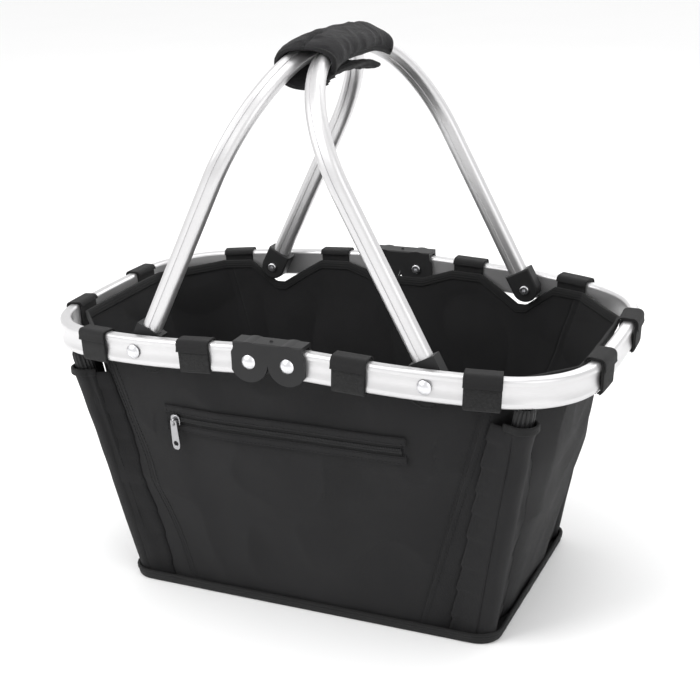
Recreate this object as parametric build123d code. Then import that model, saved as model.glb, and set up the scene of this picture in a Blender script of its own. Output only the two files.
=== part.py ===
from build123d import *
import os
from math import asin, atan2, cos, degrees, hypot, radians, sin, sqrt

# Collapsible carry basket. Millimetres, +Z up, X along the basket, Y across it.
# The origin is the middle of the base, on the surface that the basket stands on.

# ---- driving dimensions ----
rim_half_length = 240.0        # outer face of the rim, measured flat
rim_half_width = 144.0
rim_height = 24.0
rim_thickness = 10.0
rim_wall = 1.6
rim_lip_radius = 3.0
rim_groove_depth = 1.3
rim_groove_height = 14.0
rim_straight_half = 74.0       # straight middle stretch of each long side
rim_side_radius = 412.0
rim_corner_radius = 78.5
rim_end_radius = 1125.0

hinge_height = 236.0           # clip rivets above the floor
hinge_half_spacing = 16.5
rim_droop = 3.0                # degrees that each half leans down from its rivet
clip_half_length = 29.5
clip_wall = 3.0
clip_roof = 3.2
clip_lobe_radius = 16.5
clip_gap = 0.6                 # clip to the rim's faces
clip_roof_gap = 0.8
clip_edge_radius = 1.2
clip_lobe_reach = 31.25        # the lobes are cut flat at this half-length
clip_dot_radius = 1.4          # moulding dot in the middle of the roof

handle_reach = 125.4           # handle rivets from the middle, measured along the flat rim
handle_rise = 255.0            # rivet to the arch's crown, along the tube's plane
handle_bend_radius = 100.0
handle_bend_limit = 0.85       # bend radius at most, as a share of the leg's distance out
tube_width = 16.0
tube_depth = 11.0
tube_wall = 1.4
tube_edge_radius = 4.5
tube_groove_depth = 0.7
tube_groove_width = 2.4
handle_top_gap = 2.7           # between the two crowns where they meet
handle_lean = 27.0             # degrees, used only to set how wide a crown is
cap_width = 23.0
cap_depth = 13.0
cap_above_pivot = 17.0
cap_gap = 0.4                  # cap to the rim's inner face
cap_socket_floor = 6.0         # tube's foot above the pivot
cap_edge_radius = 1.5

grip_length = 118.0
grip_padding = 5.0
grip_gap = 0.4
grip_lip_drop = 3.0            # how far the top flap hangs past the tube's middle
grip_under_gap = 5.0           # open slot between the top flap and the under flap

rivet_shank_radius = 2.4
rivet_fit = 0.05
rivet_head_radius = 5.8
rivet_head_height = 2.6
rivet_tail_radius = 4.2
rivet_tail_height = 2.2
rivet_tail_bore = 1.5
rivet_tail_roll = 1.0          # rounding of the tail's rim
rivet_bore_depth = 2.0         # past the tail

strap_width = 28.0
strap_thickness = 2.0
strap_gap = 0.4
strap_edge_radius = 1.6
inner_strap_reach = 66.0       # strap centres on the long sides
outer_strap_reach = 167.0
end_strap_reach = 50.0         # strap centres on the ends, from the middle

base_half_length = 170.5
base_half_width = 107.6
base_corner_radius = 20.0
binding_height = 9.0
binding_thickness = 2.0
binding_lift = 0.3
fabric = 2.0
soft_gap = 0.3
bottom_thickness = 2.0
board_thickness = 3.0
board_margin = 4.0
bag_rim_gap = 3.5              # bag wall to the rim's inner face
bag_base_gap = 2.9             # bag wall to the binding, which is upright while the wall leans out
bag_top = 240.0
bag_corner_radius = 62.0       # at the base, where the poles stand outside the wall
bag_side_radius = 2000.0
bag_straight_half = 70.0
hem_height = 8.0
mouth_clip_drop = 8.0          # mouth edge below the clip rivets
mouth_clip_clear = 7.0         # past the clip rivets before the edge rises
mouth_cap_drop = 5.0           # mouth edge below the handle caps
mouth_cap_clear = 2.0
mouth_lift = 4.0               # mouth edge above the rim's middle at the straps
mouth_slope = 1.0
panel_seam_reach = 148.0       # front and back panels end at this half-length at the base
panel_seam_past_strap = 12.0   # and this far past the outer straps' centres at the mouth

pole_radius = 8.5
pole_flutes = 12
pole_flute_depth = 1.0
pole_top_gap = 0.4
pole_corner_angle = 60.0       # where along the rim's corner the pole's top stands
pole_pocket_thickness = 1.5
pole_pocket_gap = 0.4
pole_pocket_top = 196.0
pole_binding_gap = 3.5         # pocket to binding at the foot, because the pole leans out

zip_left = -106.0
zip_right = 99.0
zip_height = 167.5
zip_coil_height = 5.0
zip_coil_thickness = 1.8
zip_tape_height = 9.0
zip_tape_thickness = 0.9
slider_length = 9.0
slider_height = 10.0
slider_thickness = 3.0
slider_bridge = 3.0
slider_end_gap = 1.0           # slider to the zip's left end
slider_edge_radius = 1.0
bridge_wall = 1.2
bridge_roof = 1.1
bridge_root = 0.1              # how deep the bridge is sunk in the slider
pull_length = 26.0
pull_width = 7.0
pull_thickness = 1.5
pull_pin_radius = 1.1
pull_play = 0.3
pull_pin_drop = 1.0            # pin below the slider's middle
pull_window_gap = 0.4
pull_window_height = 6.4
pull_window_drop = 2.6
pull_arm_length = 4.4
pull_tab_drop = 1.6
pull_hole_radius = 1.75
pull_hole_shares = (0.45, 0.8)
lining_length = 212.0
lining_depth = 112.0
lining_thickness = 1.0
lining_gap = 2.2               # inside the front panel, which bows towards its ends

# ---- derived places ----
hinge_y = rim_half_width - rim_thickness / 2
arm = handle_reach - hinge_half_spacing
handle_x = hinge_half_spacing + arm * cos(radians(rim_droop))
handle_z = hinge_height - arm * sin(radians(rim_droop))
clip_top = hinge_height + rim_height / 2 + clip_roof_gap + clip_roof

os.makedirs("parts", exist_ok=True)


class Plan:
    """A rounded, bowed rectangle: side, corner and end arcs that run into each other."""

    def __init__(self, length, width, straight, side, corner, end):
        self.length = length
        self.width = width
        self.straight = straight
        self.side = side
        self.corner = corner
        self.end = end
        side_centre = (straight, width - side)
        end_centre = (length - end, 0.0)
        near = side - corner
        far = end - corner
        dx = end_centre[0] - side_centre[0]
        dy = end_centre[1] - side_centre[1]
        span = hypot(dx, dy)
        along = (near**2 - far**2 + span**2) / (2 * span)
        off = sqrt(near**2 - along**2)
        options = [
            (
                side_centre[0] + (along * dx - s * off * dy) / span,
                side_centre[1] + (along * dy + s * off * dx) / span,
            )
            for s in (1, -1)
        ]
        self.side_centre = side_centre
        self.end_centre = end_centre
        self.corner_centre = max(options, key=sum)
        cx, cy = self.corner_centre
        self.side_angle = degrees(atan2(cy - side_centre[1], cx - side_centre[0]))
        self.end_angle = degrees(atan2(cy - end_centre[1], cx - end_centre[0]))

    def right_edges(self, inset):
        """The right half of the outline, moved in by inset, from the front middle to the back."""
        side = self.side - inset
        corner = self.corner - inset
        end = self.end - inset
        y = self.width - inset
        sx, sy = self.side_centre
        cx, cy = self.corner_centre
        turn = self.side_angle - self.end_angle
        pieces = [
            Edge.make_line((0, -y, 0), (self.straight, -y, 0)),
            CenterArc((sx, -sy), side, -90, 90 - self.side_angle),
            CenterArc((cx, -cy), corner, -self.side_angle, turn),
            CenterArc(self.end_centre, end, -self.end_angle, 2 * self.end_angle),
            CenterArc((cx, cy), corner, self.end_angle, turn),
            CenterArc((sx, sy), side, self.side_angle, 90 - self.side_angle),
            Edge.make_line((self.straight, y, 0), (0, y, 0)),
        ]
        return [piece.edge() for piece in pieces]

    def face(self, inset, z=0.0):
        right = self.right_edges(inset)
        left = [e.mirror(Plane.YZ) for e in right]
        return Pos(0, 0, z) * make_face(right + left)

    def slab(self, inset, low, high):
        return extrude(self.face(inset, low), high - low, dir=(0, 0, 1))

    def side_y(self, x, inset=0.0):
        """Half-width of the outline at x, on the side arc."""
        sx, sy = self.side_centre
        return sy + sqrt((self.side - inset) ** 2 - max(x - sx, 0.0) ** 2)

    def corner_point(self, angle, inset):
        cx, cy = self.corner_centre
        r = self.corner - inset
        return cx + r * cos(radians(angle)), cy + r * sin(radians(angle))


rim_plan = Plan(
    rim_half_length,
    rim_half_width,
    rim_straight_half,
    rim_side_radius,
    rim_corner_radius,
    rim_end_radius,
)
bag_base_plan = Plan(
    base_half_length - binding_thickness - bag_base_gap,
    base_half_width - binding_thickness - bag_base_gap,
    bag_straight_half,
    bag_side_radius,
    bag_corner_radius,
    bag_side_radius,
)


def settle(shape, side):
    """Lean a flat-built piece of the right half down by the droop, or the left one for side -1."""
    turned = Pos(-hinge_half_spacing, 0, -hinge_height) * shape
    turned = Rot(0, rim_droop, 0) * turned
    turned = Pos(hinge_half_spacing, 0, hinge_height) * turned
    return turned if side > 0 else mirror(turned, Plane.YZ)


def both_ways(shape, side_x, side_y):
    """Mirror a piece built at +X, +Y into one of the four corners."""
    if side_x < 0:
        shape = mirror(shape, Plane.YZ)
    if side_y < 0:
        shape = mirror(shape, Plane.XZ)
    return shape


def rod(radius, start, finish):
    """A cylinder along Y."""
    return Pos(start[0], start[1], start[2]) * Rot(-90, 0, 0) * Cylinder(
        radius, finish - start[1], align=(Align.CENTER, Align.CENTER, Align.MIN)
    )


# ---- rim ----
def rim_bar():
    """The hollow channel section swept round the right half of the plan."""
    half_t = rim_thickness / 2
    path = Wire(rim_plan.right_edges(half_t))
    start = Plane(origin=(0, -hinge_y, 0), x_dir=(0, 1, 0), z_dir=(1, 0, 0))
    outer = RectangleRounded(rim_thickness, rim_height, rim_lip_radius)
    sagitta = rim_groove_depth
    chord = rim_groove_height / 2
    groove_radius = (chord**2 + sagitta**2) / (2 * sagitta)
    groove = Pos(-half_t + sagitta - groove_radius, 0) * Circle(groove_radius)
    inner = Pos(sagitta / 2, 0) * RectangleRounded(
        rim_thickness - 2 * rim_wall - sagitta,
        rim_height - 2 * rim_wall,
        rim_lip_radius - rim_wall,
    )
    section = outer - groove - inner
    bar = sweep(start * section, path=path)
    bar = Pos(0, 0, hinge_height) * bar
    reach = rim_half_width + rim_thickness
    square_end = Pos(hinge_half_spacing / 2, 0, hinge_height) * Box(
        hinge_half_spacing, 2 * reach, rim_height + 2
    )
    round_end = Pos(hinge_half_spacing, 0, hinge_height) * Rot(90, 0, 0) * Cylinder(
        rim_height / 2, 2 * reach
    )
    return bar - (square_end - round_end)


def rim_half(side):
    bar = rim_bar()
    hole = rivet_shank_radius + rivet_fit
    for x in (hinge_half_spacing, handle_reach):
        bar -= Pos(x, 0, hinge_height) * Rot(90, 0, 0) * Cylinder(hole, 4 * rim_half_width)
    return settle(bar, side)


def strap_sleeve():
    """A sleeve all round the rim, from which each webbing loop is cut."""
    out = strap_gap + strap_thickness
    low = hinge_height - rim_height / 2
    high = hinge_height + rim_height / 2
    shell = rim_plan.slab(-out, low - out, high + out)
    shell -= rim_plan.slab(rim_thickness + out, low - 2 * out, high + 2 * out)
    core = rim_plan.slab(-strap_gap, low - strap_gap, high + strap_gap)
    core -= rim_plan.slab(rim_thickness + strap_gap, low - out, high + out)
    edges = shell.edges().filter_by(lambda e: abs(e.tangent_at(0.5).Z) < 0.1)
    shell = fillet(edges, strap_edge_radius)
    return shell - core


def strap(sleeve, side_x, side_y, kind):
    if kind == "end":
        x = rim_half_length - rim_thickness / 2
        y = end_strap_reach
        turn = 90 - degrees(asin(y / rim_end_radius))
    elif kind == "inner":
        x = inner_strap_reach
        y = hinge_y
        turn = 0.0
    else:
        x = outer_strap_reach
        half_t = rim_thickness / 2
        cx, cy = rim_plan.corner_centre
        y = cy + sqrt((rim_corner_radius - half_t) ** 2 - (x - cx) ** 2)
        turn = -degrees(asin((x - cx) / (rim_corner_radius - half_t)))
    cutter = Pos(x, y, hinge_height) * Rot(0, 0, turn) * Box(
        strap_width, 4 * rim_thickness, 3 * rim_height
    )
    piece = sleeve & cutter
    if side_y < 0:
        piece = mirror(piece, Plane.XZ)
    return settle(piece, side_x)


# ---- clips and rivets ----
def hinge_clip(side_y):
    """An inverted channel over both bar ends, with a lobe round each rivet."""
    low_y = rim_half_width - rim_thickness - clip_gap - clip_wall
    high_y = rim_half_width + clip_gap + clip_wall
    lobes = [
        Pos(s * hinge_half_spacing, 0) * Circle(clip_lobe_radius) for s in (-1, 1)
    ]
    above = clip_top - hinge_height
    body = Pos(0, above / 2) * Rectangle(2 * clip_half_length, above)
    profile = lobes[0] + lobes[1] + body
    profile &= Rectangle(2 * clip_lobe_reach, 4 * clip_lobe_radius)
    face = Plane(origin=(0, high_y, hinge_height), x_dir=(1, 0, 0), z_dir=(0, -1, 0)) * profile
    clip = extrude(face, high_y - low_y, dir=(0, -1, 0))
    top_edges = clip.edges().filter_by(Axis.X).group_by(Axis.Z)[-1]
    clip = fillet(top_edges, clip_edge_radius)
    slot_low = hinge_height - 2 * clip_lobe_radius
    slot_high = hinge_height + rim_height / 2 + clip_roof_gap
    clip -= Pos(0, rim_half_width - rim_thickness / 2, (slot_low + slot_high) / 2) * Box(
        3 * clip_half_length, rim_thickness + 2 * clip_gap, slot_high - slot_low
    )
    for s in (-1, 1):
        start = (s * hinge_half_spacing, low_y - 1, hinge_height)
        clip -= rod(rivet_shank_radius + rivet_fit, start, high_y + 1)
    clip += Pos(0, (low_y + high_y) / 2, clip_top) * Sphere(clip_dot_radius)
    return clip if side_y > 0 else mirror(clip, Plane.XZ)


def rivet(x, z, inner_y, outer_y):
    """Domed head outside, at +Y, and a rolled hollow tail inside."""
    head_radius = (rivet_head_radius**2 + rivet_head_height**2) / (2 * rivet_head_height)
    ball = Pos(x, outer_y + rivet_head_height - head_radius, z) * Sphere(head_radius)
    clear = Pos(x, outer_y - head_radius, z) * Box(
        3 * head_radius, 2 * head_radius, 3 * head_radius
    )
    head = ball - clear
    tail_y = inner_y - rivet_tail_height
    shank = rod(rivet_shank_radius, (x, tail_y, z), outer_y)
    tail = rod(rivet_tail_radius, (x, tail_y, z), inner_y)
    tail = fillet(tail.edges().group_by(Axis.Y)[0], rivet_tail_roll)
    body = shank + tail + head
    return body - rod(rivet_tail_bore, (x, tail_y - 1, z), inner_y + rivet_bore_depth)


def clip_rivets(side_y):
    inner_y = rim_half_width - rim_thickness - clip_gap - clip_wall - rivet_fit
    outer_y = rim_half_width + clip_gap + clip_wall + rivet_fit
    pair = [rivet(s * hinge_half_spacing, hinge_height, inner_y, outer_y) for s in (-1, 1)]
    if side_y < 0:
        pair = [mirror(p, Plane.XZ) for p in pair]
    return Compound(pair)


# ---- handles ----
cap_swing = hypot(cap_above_pivot, cap_width / 2)
cap_face_y = rim_plan.side_y(handle_reach + cap_swing, rim_thickness) - cap_gap
leg_y = cap_face_y - cap_depth / 2
handle_bend = min(handle_bend_radius, handle_bend_limit * leg_y)
crown_half_width = tube_edge_radius
crown_half_width += (tube_width / 2 - tube_edge_radius) * cos(radians(handle_lean))
crown_half_width += (tube_depth / 2 - tube_edge_radius) * sin(radians(handle_lean))
crown_x = crown_half_width + handle_top_gap / 2
handle_tilt = degrees(asin((handle_x - crown_x) / handle_rise))


def arch_path():
    """Centreline of an arch in the YZ plane, with its feet at the pivots' height."""
    top = handle_rise
    bend = handle_bend
    corner_z = top - bend
    inner = leg_y - bend
    return Wire(
        [
            Edge.make_line((0, -leg_y, cap_socket_floor), (0, -leg_y, corner_z)),
            Edge.make_three_point_arc(
                (0, -leg_y, corner_z),
                (0, -inner - bend * sqrt(0.5), corner_z + bend * sqrt(0.5)),
                (0, -inner, top),
            ),
            Edge.make_line((0, -inner, top), (0, inner, top)),
            Edge.make_three_point_arc(
                (0, inner, top),
                (0, inner + bend * sqrt(0.5), corner_z + bend * sqrt(0.5)),
                (0, leg_y, corner_z),
            ),
            Edge.make_line((0, leg_y, corner_z), (0, leg_y, cap_socket_floor)),
        ]
    )


def arch(section):
    start = Plane(origin=(0, -leg_y, cap_socket_floor), x_dir=(1, 0, 0), z_dir=(0, 0, 1))
    return sweep(start * section, path=arch_path())


def stand(shape, side):
    """Lean an upright handle piece inward and put it on its pivots."""
    placed = Pos(handle_x, 0, handle_z) * Rot(0, -handle_tilt, 0) * shape
    return placed if side > 0 else mirror(placed, Plane.YZ)


def tube_section():
    outer = RectangleRounded(tube_width, tube_depth, tube_edge_radius)
    inner = RectangleRounded(
        tube_width - 2 * tube_wall, tube_depth - 2 * tube_wall, tube_edge_radius - tube_wall
    )
    section = outer - inner
    for s in (-1, 1):
        section -= Pos(0, s * (tube_depth / 2)) * Rectangle(
            tube_groove_width, 2 * tube_groove_depth
        )
    return section


def cap_local():
    """End cap round the pivot at the origin, reaching up the tube; rim face at +Y."""
    half = cap_width / 2
    outline = Circle(half) + Pos(0, cap_above_pivot / 2) * Rectangle(cap_width, cap_above_pivot)
    face = Plane(origin=(0, cap_face_y, 0), x_dir=(1, 0, 0), z_dir=(0, -1, 0)) * outline
    block = extrude(face, cap_depth, dir=(0, -1, 0))
    block = fillet(block.edges().group_by(Axis.Y)[0], cap_edge_radius)
    socket = RectangleRounded(
        tube_width + 2 * rivet_fit, tube_depth + 2 * rivet_fit, tube_edge_radius + rivet_fit
    )
    block -= extrude(Pos(0, leg_y, cap_socket_floor) * socket, cap_above_pivot, dir=(0, 0, 1))
    start = (0, cap_face_y - 2 * cap_depth, 0)
    return block - rod(rivet_shank_radius + rivet_fit, start, cap_face_y + 1)


def handle_cap(side_x, side_y):
    block = cap_local()
    if side_y < 0:
        block = mirror(block, Plane.XZ)
    return stand(block, side_x)


def handle_rivets(side):
    inner_y = cap_face_y - cap_depth - rivet_fit
    outer_y = rim_plan.side_y(handle_reach - rivet_head_radius) + rivet_fit
    front = rivet(handle_x, handle_z, inner_y, outer_y)
    pair = [front, mirror(front, Plane.XZ)]
    if side < 0:
        pair = [mirror(p, Plane.YZ) for p in pair]
    return Compound(pair)


# ---- grip ----
def padded_sleeve():
    """Padding round the right-hand tube's crown, before it is cut open."""
    thick = grip_gap + grip_padding
    outer = RectangleRounded(
        tube_width + 2 * thick, tube_depth + 2 * thick, tube_edge_radius + thick * 0.7
    )
    hole = RectangleRounded(
        tube_width + 2 * grip_gap, tube_depth + 2 * grip_gap, tube_edge_radius + grip_gap
    )
    sleeve = arch(outer - hole)
    sleeve &= Pos(0, 0, handle_rise) * Box(4 * tube_width, grip_length, 2 * handle_bend)
    sleeve = stand(sleeve, 1)
    big = 2 * handle_rise
    return sleeve & Pos(big / 2, 0, handle_z + handle_rise) * Box(big, big, big)


crown_z = handle_z + handle_rise * cos(radians(handle_tilt))


def grip_cut(sleeve, low, high):
    reach = 4 * tube_width
    middle = crown_z + (low + high) / 2
    return sleeve & Pos(reach / 2, 0, middle) * Box(reach, 2 * grip_length, high - low)


# ---- bag ----
def bag_solid(inset, low):
    """The filled shape of the bag, drawn in by inset."""
    top = rim_plan.face(rim_thickness + bag_rim_gap + inset, bag_top)
    bottom = bag_base_plan.face(inset, low)
    return loft([bottom, top], ruled=True)


def mouth_profile(drop):
    """Everything below the bag's top edge, which dips under the clips and the handle caps."""
    lean = sin(radians(rim_droop))
    strap_half = strap_width / 2

    def rim_mid(x):
        return hinge_height - lean * max(x - hinge_half_spacing, 0.0)

    dip = handle_z - cap_width / 2 - mouth_cap_drop
    cap_half = cap_width / 2 + mouth_cap_clear
    edge_up = mouth_lift
    points = [
        (0, hinge_height - mouth_clip_drop),
        (hinge_half_spacing + mouth_clip_clear, hinge_height - mouth_clip_drop),
        (inner_strap_reach - strap_half, rim_mid(inner_strap_reach) + edge_up),
        (inner_strap_reach + strap_half, rim_mid(inner_strap_reach) + edge_up - mouth_slope),
        (handle_x - cap_half, dip),
        (handle_x + cap_half, dip),
        (outer_strap_reach - strap_half, rim_mid(outer_strap_reach) + edge_up + mouth_slope),
        (outer_strap_reach + strap_half, rim_mid(outer_strap_reach) + edge_up),
        (1.2 * rim_half_length, rim_mid(rim_half_length) + edge_up),
    ]
    upper = [(x, z - drop) for x, z in points]
    outline = [(-x, z) for x, z in reversed(upper[1:])] + upper
    outline += [(1.2 * rim_half_length, -10), (-1.2 * rim_half_length, -10)]
    face = Plane.XZ * make_face(Polyline(*outline, close=True).edges())
    return extrude(face, 2 * rim_half_width, both=True)


def seam_wedge():
    """The part of space that holds the front and back panels: between the corner seams."""
    top_x = outer_strap_reach + panel_seam_past_strap
    outline = [
        (-panel_seam_reach, -1),
        (panel_seam_reach, -1),
        (top_x, bag_top + 1),
        (-top_x, bag_top + 1),
    ]
    face = Plane.XZ * make_face(Polyline(*outline, close=True).edges())
    return extrude(face, 2 * rim_half_width, both=True)


def half_space(side, axis):
    big = 4 * rim_half_length
    if axis == "x":
        return Pos(side * big / 2, 0, 0) * Box(big, big, big)
    return Pos(0, side * big / 2, 0) * Box(big, big, big)


def base_outline(inset, low, high):
    flat = RectangleRounded(
        2 * (base_half_length - inset),
        2 * (base_half_width - inset),
        base_corner_radius - inset,
    )
    return extrude(Pos(0, 0, low) * flat, high - low, dir=(0, 0, 1))


# ---- corner poles ----
pole_inset = binding_thickness + pole_binding_gap + pole_pocket_thickness
pole_inset += pole_pocket_gap + pole_radius
pole_foot = (base_half_length - pole_inset, base_half_width - pole_inset, bottom_thickness + soft_gap)
pole_top_xy = rim_plan.corner_point(pole_corner_angle, pole_radius)
pole_top_z = (
    hinge_height
    - sin(radians(rim_droop)) * (pole_top_xy[0] + pole_radius - hinge_half_spacing)
    - rim_height / 2
    - pole_top_gap
)


def along_pole(section, low, high):
    """A section drawn up the leaning pole's line and cut level at both ends."""
    lean = (
        pole_top_xy[0] - pole_foot[0],
        pole_top_xy[1] - pole_foot[1],
        pole_top_z - pole_foot[2],
    )
    length = sqrt(sum(v * v for v in lean))
    start = Plane(origin=pole_foot, x_dir=(0, 1, 0), z_dir=lean)
    start = start.offset(-2 * pole_radius)
    solid = extrude(start * section, length + 4 * pole_radius, dir=lean)
    return solid & Pos(0, 0, (low + high) / 2) * Box(
        4 * rim_half_length, 4 * rim_half_length, high - low
    )


def pole_section():
    body = Circle(pole_radius)
    for i in range(pole_flutes):
        body -= Rot(0, 0, i * 360 / pole_flutes) * Pos(pole_radius, 0) * Circle(pole_flute_depth)
    return body


# ---- zip ----
wall_lean = atan2(
    rim_half_width - rim_thickness - bag_rim_gap - bag_base_plan.width,
    bag_top - bottom_thickness,
)


def wall_plane(z):
    """A plane on the front panel's outer face at height z; its z points out of the bag."""
    share = (z - bottom_thickness) / (bag_top - bottom_thickness)
    top_y = rim_half_width - rim_thickness - bag_rim_gap
    y = bag_base_plan.width + share * (top_y - bag_base_plan.width)
    out = (0, -cos(wall_lean), -sin(wall_lean))
    return Plane(origin=(0, -y, z), x_dir=(1, 0, 0), z_dir=out)


def plate(x0, x1, up0, up1, out0, out1):
    """A flat plate against the front panel: along X, up the panel, and out from it."""
    block = Box(x1 - x0, up1 - up0, out1 - out0)
    return wall_plane(zip_height) * Pos(
        (x0 + x1) / 2, (up0 + up1) / 2, (out0 + out1) / 2
    ) * block


coil_out = soft_gap + zip_coil_thickness
slider_x = zip_left + slider_length / 2 + slider_end_gap
slider_out0 = coil_out + soft_gap
slider_out1 = slider_out0 + slider_thickness
pin_out = slider_out1 + pull_pin_radius + pull_play
pin_up = -pull_pin_drop


def zip_slider():
    half = slider_length / 2
    body = plate(-half, half, -slider_height / 2, slider_height / 2, slider_out0, slider_out1)
    body = fillet(body.edges().filter_by(lambda e: abs(e.tangent_at(0.5).Y) > 0.9), slider_edge_radius)
    leg_out = pin_out + pull_pin_radius + pull_play
    span = 2 * (pull_pin_radius + pull_play)
    bridge = plate(
        -slider_bridge / 2,
        slider_bridge / 2,
        pin_up - span / 2 - bridge_wall,
        pin_up + span / 2 + bridge_wall,
        slider_out1 - bridge_root,
        leg_out + bridge_roof,
    )
    low = pin_up - span / 2
    high = pin_up + span / 2
    slot = plate(-slider_bridge, slider_bridge, low, high, slider_out1, leg_out)
    return Pos(slider_x, 0, 0) * (body + (bridge - slot))


def zip_pull():
    """A ring round the bridge with a tab that has two holes."""
    frame = wall_plane(zip_height) * Pos(slider_x, pin_up, pin_out)
    window_width = slider_bridge + 2 * pull_window_gap
    tab_length = pull_length - 2 * pull_tab_drop
    deep = 3 * pull_thickness
    window = frame * Pos(0, -pull_window_drop, 0) * Box(window_width, pull_window_height, deep)
    pin = frame * Rot(0, 90, 0) * Cylinder(pull_pin_radius, pull_width)
    tab = frame * Pos(0, -pull_length / 2 - pull_tab_drop, 0) * Box(
        pull_width, tab_length, pull_thickness
    )
    arms = frame * Pos(0, -pull_arm_length / 2, 0) * Box(
        pull_width, pull_arm_length, pull_thickness
    )
    pull = pin + (arms - window) + (tab - window)
    for share in pull_hole_shares:
        pull -= frame * Pos(0, -share * pull_length, 0) * Cylinder(pull_hole_radius, deep)
    return pull


# ---- assembly ----
nodes = {}


def name_of(side_x, side_y):
    return ("right" if side_x > 0 else "left"), ("back" if side_y > 0 else "front")


sleeve = strap_sleeve()
for side in (-1, 1):
    which = "right" if side > 0 else "left"
    nodes[f"rim_half_{which}"] = rim_half(side)
    nodes[f"handle_rivets_{which}"] = handle_rivets(side)
    nodes[f"handle_tube_{which}"] = stand(arch(tube_section()), side)
    for side_y in (-1, 1):
        _, row = name_of(side, side_y)
        nodes[f"handle_cap_{which}_{row}"] = handle_cap(side, side_y)
        for kind in ("inner", "outer", "end"):
            nodes[f"strap_{which}_{row}_{kind}"] = strap(sleeve, side, side_y, kind)

for side_y in (-1, 1):
    row = "back" if side_y > 0 else "front"
    nodes[f"hinge_clip_{row}"] = hinge_clip(side_y)
    nodes[f"clip_rivets_{row}"] = clip_rivets(side_y)

padding = padded_sleeve()
far = grip_padding + tube_width
nodes["grip_wrap"] = mirror(padding, Plane.YZ)
nodes["grip_top_flap"] = grip_cut(padding, -grip_lip_drop, 2 * far)
nodes["grip_under_flap"] = grip_cut(padding, -2 * far, -grip_lip_drop - grip_under_gap)

wall_low = bottom_thickness + soft_gap
outer_bag = bag_solid(0, wall_low)
walls = outer_bag - bag_solid(fabric, wall_low)
below_hem = walls & mouth_profile(hem_height)
nodes["mouth_hem"] = (walls & mouth_profile(0)) - mouth_profile(hem_height)
wedge = seam_wedge()
long_walls = below_hem & wedge
end_walls = below_hem - wedge
nodes["bag_front_panel"] = long_walls & half_space(-1, "y")
nodes["bag_back_panel"] = long_walls & half_space(1, "y")
nodes["bag_end_panel_left"] = end_walls & half_space(-1, "x")
nodes["bag_end_panel_right"] = end_walls & half_space(1, "x")
nodes["bag_bottom_panel"] = base_outline(binding_thickness + soft_gap, 0, bottom_thickness)
nodes["base_board"] = bag_base_plan.slab(fabric + board_margin, wall_low, wall_low + board_thickness)
ring = base_outline(0, binding_lift, binding_height)
nodes["base_binding"] = ring - base_outline(binding_thickness, 0, 2 * binding_height)

pole = along_pole(pole_section(), pole_foot[2], pole_top_z)
pocket_inner = pole_radius + pole_pocket_gap
pocket = along_pole(
    Circle(pocket_inner + pole_pocket_thickness) - Circle(pocket_inner),
    wall_low,
    pole_pocket_top,
)
pocket -= bag_solid(-soft_gap, wall_low - 1)
for side_x in (-1, 1):
    for side_y in (-1, 1):
        which, row = name_of(side_x, side_y)
        nodes[f"corner_pole_{which}_{row}"] = both_ways(pole, side_x, side_y)
        nodes[f"pole_pocket_{which}_{row}"] = both_ways(pocket, side_x, side_y)

coil_half = zip_coil_height / 2
nodes["zip_coil"] = plate(zip_left, zip_right, -coil_half, coil_half, soft_gap, coil_out)
nodes["zip_tape_upper"] = plate(
    zip_left, zip_right, coil_half, coil_half + zip_tape_height, soft_gap, soft_gap + zip_tape_thickness
)
nodes["zip_tape_lower"] = plate(
    zip_left, zip_right, -coil_half - zip_tape_height, -coil_half, soft_gap, soft_gap + zip_tape_thickness
)
nodes["zip_slider"] = zip_slider()
nodes["zip_pull"] = zip_pull()
middle = (zip_left + zip_right) / 2
nodes["pocket_lining"] = plate(
    middle - lining_length / 2,
    middle + lining_length / 2,
    zip_tape_height - lining_depth,
    zip_tape_height,
    -fabric - lining_gap - lining_thickness,
    -fabric - lining_gap,
)

for name, shape in nodes.items():
    export_step(shape, f"parts/{name}.step")
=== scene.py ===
import math
import random

import bmesh
import bpy
import numpy as np
from mathutils import Matrix, Vector, noise


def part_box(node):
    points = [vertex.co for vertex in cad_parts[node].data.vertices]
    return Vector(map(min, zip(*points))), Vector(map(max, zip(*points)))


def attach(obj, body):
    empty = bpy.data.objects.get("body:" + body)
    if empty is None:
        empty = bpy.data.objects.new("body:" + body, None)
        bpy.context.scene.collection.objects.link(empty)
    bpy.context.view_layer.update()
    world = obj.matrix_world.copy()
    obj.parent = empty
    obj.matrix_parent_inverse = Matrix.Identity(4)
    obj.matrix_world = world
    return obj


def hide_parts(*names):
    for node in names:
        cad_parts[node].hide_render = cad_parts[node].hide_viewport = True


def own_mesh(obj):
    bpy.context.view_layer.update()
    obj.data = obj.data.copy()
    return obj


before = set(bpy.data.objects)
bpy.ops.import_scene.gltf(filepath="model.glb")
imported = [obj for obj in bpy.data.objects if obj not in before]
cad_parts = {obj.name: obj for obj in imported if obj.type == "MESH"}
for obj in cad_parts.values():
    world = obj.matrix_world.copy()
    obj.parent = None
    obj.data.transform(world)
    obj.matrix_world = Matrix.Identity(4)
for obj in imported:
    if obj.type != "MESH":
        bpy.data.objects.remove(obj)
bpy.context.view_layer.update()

# ---------------------------------------------------------------- sizes, metres
MM = 0.001
RIM_HEIGHT = 24 * MM
RIM_THICK = 10 * MM
RIVET_Z = 236 * MM
HINGE_HALF = 16.5 * MM
DROOP = math.radians(3.0)
BAG_TOP = 240 * MM
BAG_LOW = 2.3 * MM
CLOTH = 1.1 * MM
STRAP_WIDTH = 28 * MM
INNER_STRAP_X = 66 * MM
OUTER_STRAP_X = 167 * MM
END_STRAP_Y = 50 * MM
HANDLE_X = (125.25) * MM
ROOT = "basket_bag"


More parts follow.
